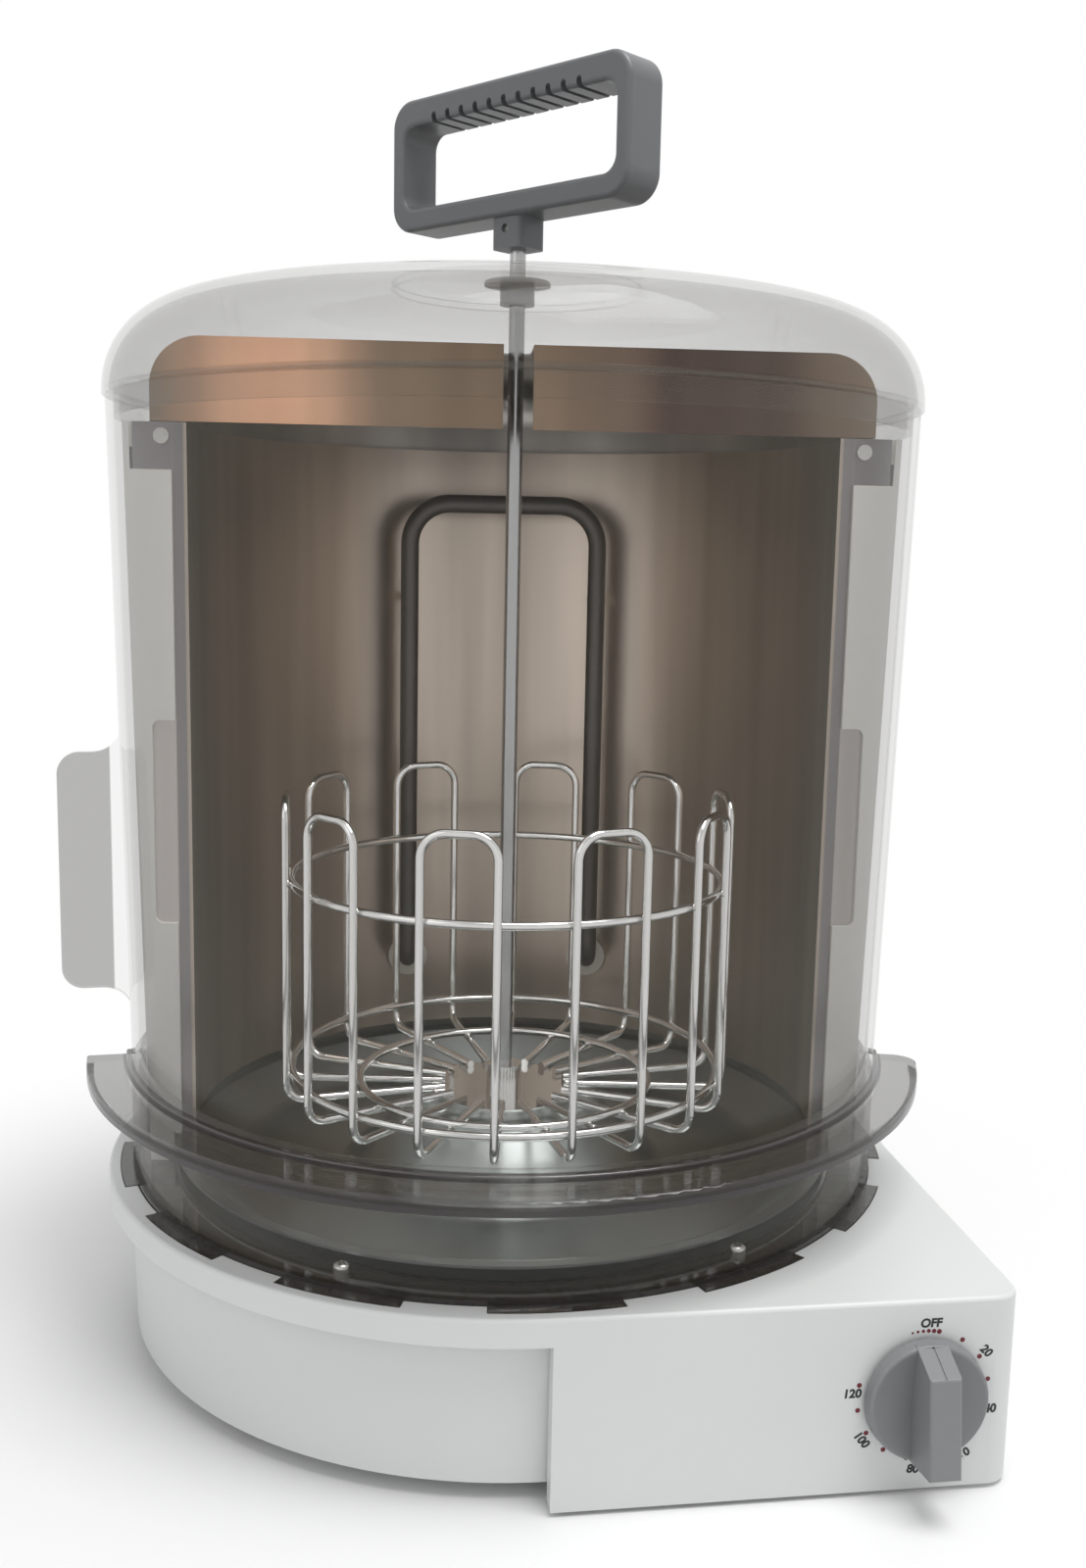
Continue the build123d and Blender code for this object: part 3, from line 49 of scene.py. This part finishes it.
def new_material(name, colour, roughness, metallic=0.0):
    """A material with one principled shader, and the shader itself."""
    material = bpy.data.materials.new(name)
    material.use_nodes = True
    shader = material.node_tree.nodes["Principled BSDF"]
    shader.inputs["Base Color"].default_value = (*colour, 1)
    shader.inputs["Roughness"].default_value = roughness
    shader.inputs["Metallic"].default_value = metallic
    return material, shader


def effect_group(name, defaults):
    """A node group with these float inputs and the three outputs that a surface takes."""
    group = bpy.data.node_groups.new(name, "ShaderNodeTree")
    for label, value in defaults.items():
        socket = group.interface.new_socket(label, in_out="INPUT", socket_type="NodeSocketFloat")
        socket.default_value = value
    for label in ["Roughness", "Tone"]:
        group.interface.new_socket(label, in_out="OUTPUT", socket_type="NodeSocketFloat")
    group.interface.new_socket("Normal", in_out="OUTPUT", socket_type="NodeSocketVector")
    group.nodes.new("NodeGroupInput")
    group.nodes.new("NodeGroupOutput")
    return group


def feed(tree, value, socket):
    """Sets a socket to a value, or links another node's output to it."""
    if isinstance(value, bpy.types.NodeSocket):
        tree.links.new(value, socket)
    else:
        socket.default_value = value


def maths(tree, operation, *values):
    """The output of a maths node on numbers or on other nodes' outputs."""
    node = tree.nodes.new("ShaderNodeMath")
    node.operation = operation
    for value, socket in zip(values, node.inputs):
        feed(tree, value, socket)
    return node.outputs[0]


def own_place(tree):
    """The output that gives a point's place in the oven's frame."""
    return tree.nodes.new("ShaderNodeTexCoord").outputs["Object"]


def noise(tree, place, scale, detail):
    """The output of a noise texture at a place."""
    node = tree.nodes.new("ShaderNodeTexNoise")
    node.inputs["Detail"].default_value = detail
    feed(tree, scale, node.inputs["Scale"])
    tree.links.new(place, node.inputs["Vector"])
    return node.outputs["Fac"]


def bumps(tree, height, distance, strength):
    """The normal of a surface that is raised by a height."""
    node = tree.nodes.new("ShaderNodeBump")
    node.inputs["Distance"].default_value = distance
    feed(tree, strength, node.inputs["Strength"])
    tree.links.new(height, node.inputs["Height"])
    return node.outputs["Normal"]


def surface(name, colour, gloss, metallic, group, **values):
    """A material whose colour, gloss and normal come from an effect group with these inputs."""
    material, shader = new_material(name, colour, gloss, metallic)
    tree = material.node_tree
    effect = tree.nodes.new("ShaderNodeGroup")
    effect.node_tree = group
    effect.inputs["Gloss"].default_value = gloss
    for label, value in values.items():
        effect.inputs[label].default_value = value
    shade = tree.nodes.new("ShaderNodeMix")
    shade.name = "shade"
    shade.data_type = "RGBA"
    shade.blend_type = "MULTIPLY"
    shade.inputs["Factor"].default_value = 1.0
    shade.inputs["A"].default_value = (*colour, 1)
    tree.links.new(effect.outputs["Tone"], shade.inputs["B"])
    tree.links.new(shade.outputs["Result"], shader.inputs["Base Color"])
    tree.links.new(effect.outputs["Roughness"], shader.inputs["Roughness"])
    tree.links.new(effect.outputs["Normal"], shader.inputs["Normal"])
    return material


moulded = effect_group("moulded_plastic", {"Grain": 900.0, "Depth": 0.05, "Gloss": 0.4, "Mottle": 0.06})
group_in = moulded.nodes["Group Input"].outputs
group_out = moulded.nodes["Group Output"].inputs
place = own_place(moulded)
grain = noise(moulded, place, group_in["Grain"], GRAIN_DETAIL)
moulded.links.new(bumps(moulded, grain, GRAIN_HEIGHT, group_in["Depth"]), group_out["Normal"])
centred = maths(moulded, "SUBTRACT", noise(moulded, place, MOTTLE_SCALE, MOTTLE_DETAIL), 0.5)
mottle = maths(moulded, "MULTIPLY", centred, group_in["Mottle"])
moulded.links.new(maths(moulded, "ADD", mottle, group_in["Gloss"]), group_out["Roughness"])
moulded.links.new(maths(moulded, "ADD", mottle, 1.0), group_out["Tone"])


def plastic(name, colour, gloss, grain=900.0, depth=0.05):
    """Moulded plastic of this colour, with its grain per metre and the grain's strength."""
    return surface(name, colour, gloss, 0.0, moulded, Grain=grain, Depth=depth)


# Metals: bent sheet, drawn wire and turned screws, all bare or plated. Streaks along the height,
# from drawing and polishing, change the gloss and the tone; where their contrast is set high, on
# the reflector and the hood, the streaks in tone are also painted reflection streaks.
STREAK_HEIGHT = 0.0002
STREAK_STRENGTH = 0.03
STREAK_DETAIL = 3.0


def vectors(tree, operation, *values):
    """The outputs of a vector maths node on vectors or on other nodes' outputs."""
    node = tree.nodes.new("ShaderNodeVectorMath")
    node.operation = operation
    for value, socket in zip(values, node.inputs):
        feed(tree, value, socket)
    return node.outputs


brushed = effect_group(
    "drawn_metal", {"Along": 6.0, "Across": 220.0, "Gloss": 0.15, "Streak": 0.1, "Contrast": 0.2}
)
group_in = brushed.nodes["Group Input"].outputs
group_out = brushed.nodes["Group Output"].inputs
stretch = brushed.nodes.new("ShaderNodeCombineXYZ")
for axis, pull in [("X", "Across"), ("Y", "Across"), ("Z", "Along")]:
    brushed.links.new(group_in[pull], stretch.inputs[axis])
pulled = vectors(brushed, "MULTIPLY", own_place(brushed), stretch.outputs["Vector"])["Vector"]
streaks = noise(brushed, pulled, 1.0, STREAK_DETAIL)
brushed.links.new(bumps(brushed, streaks, STREAK_HEIGHT, STREAK_STRENGTH), group_out["Normal"])
dulled = maths(brushed, "MULTIPLY_ADD", streaks, group_in["Streak"], group_in["Gloss"])
brushed.links.new(dulled, group_out["Roughness"])
centred = maths(brushed, "SUBTRACT", streaks, 0.5)
toned = maths(brushed, "MULTIPLY_ADD", centred, group_in["Contrast"], 1.0)
brushed.links.new(toned, group_out["Tone"])


def metal(name, colour, gloss, streak=0.1, along=6.0, across=220.0, contrast=0.2):
    """Drawn or polished metal of this colour, with its streaks per metre along and across."""
    return surface(
        name, colour, gloss, 1.0, brushed, Streak=streak, Along=along, Across=across, Contrast=contrast
    )


# Base: the white deck with its control box, the drum under it, the cord's rubber gland and the
# screws that close it from below, with the gearmotor, the timer and the terminals inside.
def dress(material, *names):
    """Gives CAD nodes this material."""
    for name in names:
        for slot in nodes[name].material_slots:
            slot.material = material


white_plastic = plastic("white_plastic", (0.66, 0.675, 0.67), gloss=0.38)
dress(white_plastic, "base_cover", "base_tub")
black_rubber = plastic("black_rubber", (0.02, 0.02, 0.021), gloss=0.7, grain=500.0, depth=0.2)
dress(black_rubber, "cord_gland")
zinc = metal("zinc_steel", (0.68, 0.67, 0.64), gloss=0.24)
dress(zinc, "base_screws", "ring_screws", "motor_plate", "motor_screws", "gearmotor")
dress(zinc, "timer_screws", "timer_shaft")
nylon = plastic("natural_nylon", (0.6, 0.58, 0.53), gloss=0.5)
dress(nylon, "terminal_block", "timer_body", "drive_coupling")

# Timer knob: a dark grey moulding pressed on the timer's shaft, and the dial printed on the
# panel round it: dots every ten minutes, a number every twenty and OFF at the top.
grey_plastic = plastic("grey_plastic", (0.2, 0.208, 0.214), gloss=0.42, grain=700.0, depth=0.12)
dress(grey_plastic, "timer_knob")
dot_ink = plastic("dot_ink", (0.15, 0.014, 0.022), gloss=0.5)
number_ink = plastic("number_ink", (0.018, 0.018, 0.02), gloss=0.5)
shaft_low, shaft_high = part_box("timer_shaft")
dial_x = (shaft_low[0] + shaft_high[0]) / 2
dial_z = (shaft_low[2] + shaft_high[2]) / 2
panel_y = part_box("base_cover")[0][1]
PRINT_T = 0.00005
DOT_CIRCLE_R = 0.0223
DOT_R = 0.00084
DOT_SIDES = 20
SMALL_DOT_R = 0.0004
DIAL_START = 10.9
TEN_MINUTES = 22.6
DIAL_DOTS = 13
FADE_START = -12.4
FADE_DOTS = 5
NUMBER_SIZE = 0.0041
NUMBER_SLANT = 0.1
NUMBER_WEIGHT = 0.00017
# each label with its radius, its degrees clockwise from the top and its tilt
DIAL_LABELS = [
    ("OFF", 0.0249, 3, 0),
    ("20", 0.0251, 55.4, 45),
    ("40", 0.0241, 105, 0),
    ("60", 0.0266, 145, -35),
    ("80", 0.0261, 184.6, 5),
    ("100", 0.0248, 234.3, 50),
    ("120", 0.0242, 274.2, 0),
]


def new_piece(name, bm, material, body):
    """Turns a bmesh into a piece that rides on a body."""
    mesh = bpy.data.meshes.new(name)
    bm.to_mesh(mesh)
    bm.free()
    mesh.materials.append(material)
    piece = bpy.data.objects.new(name, mesh)
    bpy.context.scene.collection.objects.link(piece)
    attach(piece, body)


def dial_point(radius, degrees):
    """A point on the panel, degrees clockwise from the top of the dial."""
    turn = radians(degrees)
    return Vector((dial_x + radius * sin(turn), panel_y, dial_z + radius * cos(turn)))


def print_dot(bm, degrees, radius):
    """A thin round dot of ink on the dial's circle."""
    where = Matrix.Translation(dial_point(DOT_CIRCLE_R, degrees)) @ Matrix.Rotation(pi / 2, 4, "X")
    bmesh.ops.create_cone(
        bm,
        cap_ends=True,
        segments=DOT_SIDES,
        radius1=radius,
        radius2=radius,
        depth=2 * PRINT_T,
        matrix=where,
    )


def print_label(bm, label, radius, degrees, tilt):
    """A word or number of ink on the dial, tilted clockwise."""
    curve = bpy.data.curves.new("label", "FONT")
    curve.body = label
    curve.size = NUMBER_SIZE
    curve.extrude = PRINT_T
    curve.offset = NUMBER_WEIGHT
    curve.shear = NUMBER_SLANT
    curve.align_x = "CENTER"
    curve.align_y = "CENTER"
    holder = bpy.data.objects.new("label", curve)
    mesh = bpy.data.meshes.new_from_object(holder)
    turned = Matrix.Rotation(pi / 2, 4, "X") @ Matrix.Rotation(-radians(tilt), 4, "Z")
    mesh.transform(Matrix.Translation(dial_point(radius, degrees)) @ turned)
    bm.from_mesh(mesh)
    bpy.data.meshes.remove(mesh)
    bpy.data.objects.remove(holder)
    bpy.data.curves.remove(curve)


dots = bmesh.new()
for step in range(DIAL_DOTS):
    print_dot(dots, DIAL_START + step * TEN_MINUTES, DOT_R)
for step in range(FADE_DOTS):
    share = step / FADE_DOTS
    degrees = FADE_START + share * (DIAL_START - FADE_START)
    print_dot(dots, degrees, SMALL_DOT_R + share * (DOT_R - SMALL_DOT_R))
new_piece("dial_dots", dots, dot_ink, "oven")
numbers = bmesh.new()
for entry in DIAL_LABELS:
    print_label(numbers, *entry)
new_piece("dial_numbers", numbers, number_ink, "oven")

# Clear smoked plastic of the ring, the door and the dome: injection moulded, thin and glossy.
# It is denser where it is seen edge on and along the lips, beads and feet. These are also painted
# dark there, as painted shade for the dark lines that refraction draws in clear plastic.
SMOKE = (0.11, 0.103, 0.08)
PAINTED_LIP_SHADE = (0.014, 0.009, 0.01)
LIP_SOFT = 0.0003
CLEAR_ROUGHNESS = 0.05
CLEAR_IOR = 1.5
CLEAR_GLOSS = 0.5
COAT_ROUGHNESS = 0.03
EDGE_BLEND = 0.3
OUTLINE_START = 0.45


def ramp(tree, measure, begin, end, at_begin=0.0, at_end=1.0, shape="LINEAR"):
    """A value that goes from at_begin to at_end while the measure goes from begin to end."""
    node = tree.nodes.new("ShaderNodeMapRange")
    node.interpolation_type = shape
    node.inputs["From Min"].default_value = begin
    node.inputs["From Max"].default_value = end
    node.inputs["To Min"].default_value = at_begin
    node.inputs["To Max"].default_value = at_end
    tree.links.new(measure, node.inputs["Value"])
    return node.outputs["Result"]


def band(tree, measure, low, high, soft=LIP_SOFT):
    """A mask that is one where the measure lies between low and high, with soft edges."""
    away = maths(tree, "ABSOLUTE", maths(tree, "SUBTRACT", measure, (low + high) / 2))
    half = (high - low) / 2
    return ramp(tree, away, half + soft, half - soft)


def split_place(tree):
    """The outputs X, Y and Z of a point's place."""
    node = tree.nodes.new("ShaderNodeSeparateXYZ")
    tree.links.new(own_place(tree), node.inputs["Vector"])
    return node.outputs


def ring_mask(tree, radii, heights):
    """A mask of the part of a piece between two radii from the oven's axis and two heights."""
    flat = vectors(tree, "MULTIPLY", own_place(tree), (1, 1, 0))["Vector"]
    radius = vectors(tree, "LENGTH", flat)["Value"]
    in_radii = band(tree, radius, *radii)
    return maths(tree, "MULTIPLY", in_radii, band(tree, split_place(tree)["Z"], *heights))


def paint_light(tree, mask, below, colour):
    """Lays a colour of painted light or shade over the one below, a plain colour or a node's output, where
    the mask is one.
    """
    mix = tree.nodes.new("ShaderNodeMix")
    mix.data_type = "RGBA"
    if isinstance(below, tuple):
        below = (*below, 1)
    feed(tree, below, mix.inputs["A"])
    mix.inputs["B"].default_value = (*colour, 1)
    tree.links.new(mask, mix.inputs["Factor"])
    return mix.outputs["Result"]


def smoked_plastic(name, square, edge, lips):
    """Smoked plastic with its density seen square and edge on; a lip is its radii, heights and density,
    and is painted dark as painted shade.
    """
    material, shader = new_material(name, SMOKE, CLEAR_ROUGHNESS)
    shader.inputs["IOR"].default_value = CLEAR_IOR
    shader.inputs["Coat Roughness"].default_value = COAT_ROUGHNESS
    tree = material.node_tree
    weight = tree.nodes.new("ShaderNodeLayerWeight")
    weight.inputs["Blend"].default_value = EDGE_BLEND
    edge_on = weight.outputs["Facing"]
    # the outline doesn't mirror the white surround
    mirror = ramp(tree, edge_on, OUTLINE_START, 1.0, CLEAR_GLOSS, 0.0)
    tree.links.new(mirror, shader.inputs["Specular IOR Level"])
    tree.links.new(mirror, shader.inputs["Coat Weight"])
    alpha = ramp(tree, edge_on, 0.0, 1.0, square, edge)
    colour = SMOKE
    for radii, heights, density in lips:
        dense_and_shaded = maths(tree, "MULTIPLY", ring_mask(tree, radii, heights), density)
        alpha = maths(tree, "MAXIMUM", alpha, dense_and_shaded)
        # the lip is painted dark here, as painted shade
        colour = paint_light(tree, dense_and_shaded, colour, PAINTED_LIP_SHADE)
    tree.links.new(colour, shader.inputs["Base Color"])
    tree.links.new(alpha, shader.inputs["Alpha"])
    return material


# lips that are denser and painted dark as painted shade, each with its radii, its heights and its density
ring_foot = ((0.0, 0.2), (0.0, 0.0688), 0.75)
ring_rail = ((0.0, 0.2), (0.1034, 0.1062), 0.35)
ring_smoke = smoked_plastic("ring_smoke", 0.06, 0.5, [ring_foot, ring_rail])
dress(ring_smoke, "lower_ring")
door_fin = ((0.1515, 0.2), (0.0, 0.4), 0.36)
door_flange = ((0.148, 0.17), (0.103, 0.1095), 0.46)
flange_lip = ((0.159, 0.17), (0.1034, 0.1062), 0.9)
flange_edge = ((0.1615, 0.17), (0.1078, 0.1092), 0.6)
door_bead = ((0.1445, 0.149), (0.1088, 0.1112), 0.85)
door_lips = [door_fin, door_flange, flange_lip, flange_edge, door_bead]
door_smoke = smoked_plastic("door_smoke", 0.052, 0.5, door_lips)
dress(door_smoke, "door")
dome_rim = ((0.14, 0.16), (0.355, 0.3563), 0.4)
dome_disc = ((0.0452, 0.0475), (0.39, 0.41), 0.45)
dome_smoke = smoked_plastic("dome_smoke", 0.03, 0.43, [dome_rim, dome_disc])
dress(dome_smoke, "dome_cap")

# Rear housing and reflector: a white moulded shell behind the cavity, lined with one bent
# polished sheet. The sheet's wings are painted greyer, and paler in the notches of the cheeks,
# as painted reflection, and its strong streaks in tone are partly painted reflection streaks.
housing_plastic = plastic("housing_plastic", (0.78, 0.77, 0.735), gloss=0.4)
dress(housing_plastic, "rear_housing")
SHEET_GREY = (0.49, 0.42, 0.36)
WING_REFLECTION_GREY = (0.27, 0.255, 0.26)
NOTCH_REFLECTION_GREY = (0.6, 0.55, 0.53)
WING_STRIP = ((0.1234, 0.1274), (0.0, 0.36))
WING_EAR = ((0.1274, 0.16), (0.3285, 0.36))
WING_NOTCH = ((0.1274, 0.16), (0.15, 0.25))
polished_sheet = metal(
    "polished_sheet", SHEET_GREY, gloss=0.29, streak=0.08, along=1.5, across=28.0, contrast=1.6
)
tree = polished_sheet.node_tree
# painted reflection: the wing strips and ears greyer, the notches paler
painted_reflections = paint_light(tree, ring_mask(tree, *WING_STRIP), SHEET_GREY, WING_REFLECTION_GREY)
painted_reflections = paint_light(tree, ring_mask(tree, *WING_EAR), painted_reflections, WING_REFLECTION_GREY)
painted_reflections = paint_light(tree, ring_mask(tree, *WING_NOTCH), painted_reflections, NOTCH_REFLECTION_GREY)
tree.links.new(painted_reflections, tree.nodes["shade"].inputs["A"])
dress(polished_sheet, "reflector")

# Hood: a half pan of polished sheet over the cavity. Its front wall is painted darker brown as a
# painted reflection of the dim room, with a painted warm reflection at the left end and a painted
# dark one at the right; its strong streaks in tone are partly painted reflection streaks.
HOOD_GREY = (0.46, 0.435, 0.41)
HOOD_FRONT_REFLECTION = (0.265, 0.192, 0.137)
WARM_REFLECTION = (0.8, 0.46, 0.3)
DARK_REFLECTION = (0.085, 0.058, 0.05)
MOUTH_TURN = radians(-4.7)
FRONT_WALL = (-0.0256, -0.0234)
# each patch with its left end, its right end and how far these fade
WARM_PATCH = (-0.115, -0.07, 0.018)
DARK_PATCH = (0.03, 0.115, 0.025)
hood_sheet = metal(
    "hood_sheet", HOOD_GREY, gloss=0.29, streak=0.08, along=2.0, across=22.0, contrast=1.8
)
tree = hood_sheet.node_tree
inwards = (-sin(MOUTH_TURN), cos(MOUTH_TURN), 0)
depth = vectors(tree, "DOT_PRODUCT", own_place(tree), inwards)["Value"]
on_front = band(tree, depth, *FRONT_WALL)
# painted reflection of the dim room on the front wall, then painted warm and dark reflections on it
painted_reflections = paint_light(tree, on_front, HOOD_GREY, HOOD_FRONT_REFLECTION)
for patch, glow in [(WARM_PATCH, WARM_REFLECTION), (DARK_PATCH, DARK_REFLECTION)]:
    on_patch = band(tree, split_place(tree)["X"], *patch)
    painted_reflections = paint_light(tree, maths(tree, "MULTIPLY", on_patch, on_front), painted_reflections, glow)
tree.links.new(painted_reflections, tree.nodes["shade"].inputs["A"])
dress(hood_sheet, "reflector_hood")

# Heater: a dark tubular element on ceramic bushes and clips, with its safety switch behind the
# reflector, and the screws that hold the reflector's wings and the dome.
heater_sheath = metal("heater_sheath", (0.14, 0.13, 0.125), gloss=0.45, streak=0.2)
dress(heater_sheath, "heater_element")
ceramic = plastic("fired_ceramic", (0.72, 0.70, 0.63), gloss=0.3, grain=400.0)
dress(ceramic, "heater_bushes")
dress(zinc, "wing_screws", "dome_screws", "heater_clips", "thermal_cutout")

# Carousel: the satin drip pan, the chromed wire rack that stands in it and the axle that
# turns both.
pan_metal = metal(
    "pan_metal", (0.43, 0.455, 0.445), gloss=0.3, streak=0.12, along=40.0, across=40.0
)
dress(pan_metal, "drip_pan")
chrome = metal("chromed_wire", (0.74, 0.735, 0.72), gloss=0.1, streak=0.05)
dress(chrome, "rack_hairpins", "rack_rings", "rack_hub", "drive_axle")

# Spit: the steel rod through the dome's bushing, the grey handle that lifts it and the pin
# that holds the handle on the rod.
bushing_plastic = plastic("bushing_plastic", (0.26, 0.25, 0.245), gloss=0.4)
dress(bushing_plastic, "dome_bushing")
rod_steel = metal("rod_steel", (0.4, 0.4, 0.4), gloss=0.2, streak=0.08)
dress(rod_steel, "spit_rod")
handle_plastic = plastic("handle_plastic", (0.12, 0.125, 0.131), gloss=0.4, grain=700.0, depth=0.1)
dress(handle_plastic, "lift_handle")
dress(zinc, "handle_pin")

# Floor and studio light: a pale floor that keeps the oven's shadow close by and fades into
# the white surround, one large soft light above and to the right, and a weaker one to the left.
FLOOR_GREY = (0.84, 0.84, 0.84)
FLOOR_ROUGHNESS = 0.6
FLOOR_HALF = 6.0
FLOOR_Z = -0.0005
SHADOW_NEAR = 0.16
SHADOW_FAR = 0.38
SURROUND_LIGHT = 0.57
SURROUND_SEEN = 1.0


def seen_directly(tree):
    """A mask of the rays that come from the camera, a reflection or clear plastic."""
    path = tree.nodes.new("ShaderNodeLightPath").outputs
    reflected = maths(tree, "MAXIMUM", path["Is Camera Ray"], path["Is Glossy Ray"])
    return maths(tree, "MAXIMUM", reflected, path["Is Transmission Ray"])


floor_material, shader = new_material("pale_floor", FLOOR_GREY, FLOOR_ROUGHNESS)
tree = floor_material.node_tree
reach = vectors(tree, "LENGTH", own_place(tree))["Value"]
fade = ramp(tree, reach, SHADOW_NEAR, SHADOW_FAR, shape="SMOOTHSTEP")
white = tree.nodes.new("ShaderNodeEmission")
faded = tree.nodes.new("ShaderNodeMixShader")
tree.links.new(maths(tree, "MULTIPLY", fade, seen_directly(tree)), faded.inputs["Fac"])
tree.links.new(shader.outputs["BSDF"], faded.inputs[1])
tree.links.new(white.outputs["Emission"], faded.inputs[2])
tree.links.new(faded.outputs["Shader"], tree.nodes["Material Output"].inputs["Surface"])
floor_mesh = bmesh.new()
bmesh.ops.create_grid(floor_mesh, x_segments=1, y_segments=1, size=FLOOR_HALF)
floor_data = bpy.data.meshes.new("floor")
floor_mesh.to_mesh(floor_data)
floor_mesh.free()
floor_data.materials.append(floor_material)
floor = bpy.data.objects.new("floor", floor_data)
floor.location.z = FLOOR_Z
bpy.context.scene.collection.objects.link(floor)

world = bpy.data.worlds.new("surround")
world.use_nodes = True
tree = world.node_tree
surround = tree.nodes["Background"]
surround.inputs["Color"].default_value = (1, 1, 1, 1)
glow = ramp(tree, seen_directly(tree), 0.0, 1.0, SURROUND_LIGHT, SURROUND_SEEN)
tree.links.new(glow, surround.inputs["Strength"])
bpy.context.scene.world = world


def soft_light(name, place, target, size, power):
    """A square area light at place, turned to target."""
    data = bpy.data.lights.new(name, "AREA")
    data.shape = "SQUARE"
    data.size = size
    data.energy = power
    light = bpy.data.objects.new(name, data)
    light.location = place
    light.rotation_euler = (Vector(target) - Vector(place)).to_track_quat("-Z", "Y").to_euler()
    bpy.context.scene.collection.objects.link(light)


soft_light("key", place=(0.35, -0.45, 1.8), target=(0, -0.05, 0.2), size=1.0, power=24)
soft_light("fill", place=(-1.2, -0.8, 1.1), target=(0, 0, 0.2), size=1.0, power=2.5)
bpy.context.scene.view_settings.view_transform = "Standard"

# Camera: where the photograph was taken from, fitted to its edges. It stands in front and a
# little to the left, about two thirds as high as the oven, and looks slightly down.
CAMERA_PLACE = (-0.0742, -0.603, 0.3058)
YAW = radians(8.28)
PITCH = radians(8.81)
ROLL = radians(-1.17)
FOCAL_PIXELS = 1591
IMAGE_HEIGHT = 1600
SENSOR_HEIGHT = 36.0
forward = Vector((sin(YAW) * cos(PITCH), cos(YAW) * cos(PITCH), -sin(PITCH)))
level = Vector((cos(YAW), -sin(YAW), 0))
right = level * cos(ROLL) + forward.cross(level) * sin(ROLL)
up = right.cross(forward)
camera_data = bpy.data.cameras.new("camera")
camera_data.sensor_fit = "VERTICAL"
camera_data.sensor_height = SENSOR_HEIGHT
camera_data.lens = SENSOR_HEIGHT * FOCAL_PIXELS / IMAGE_HEIGHT
camera = bpy.data.objects.new("camera", camera_data)
turned = Matrix((right, up, -forward)).transposed().to_4x4()
camera.matrix_world = Matrix.Translation(CAMERA_PLACE) @ turned
bpy.context.scene.collection.objects.link(camera)
bpy.context.scene.camera = camera
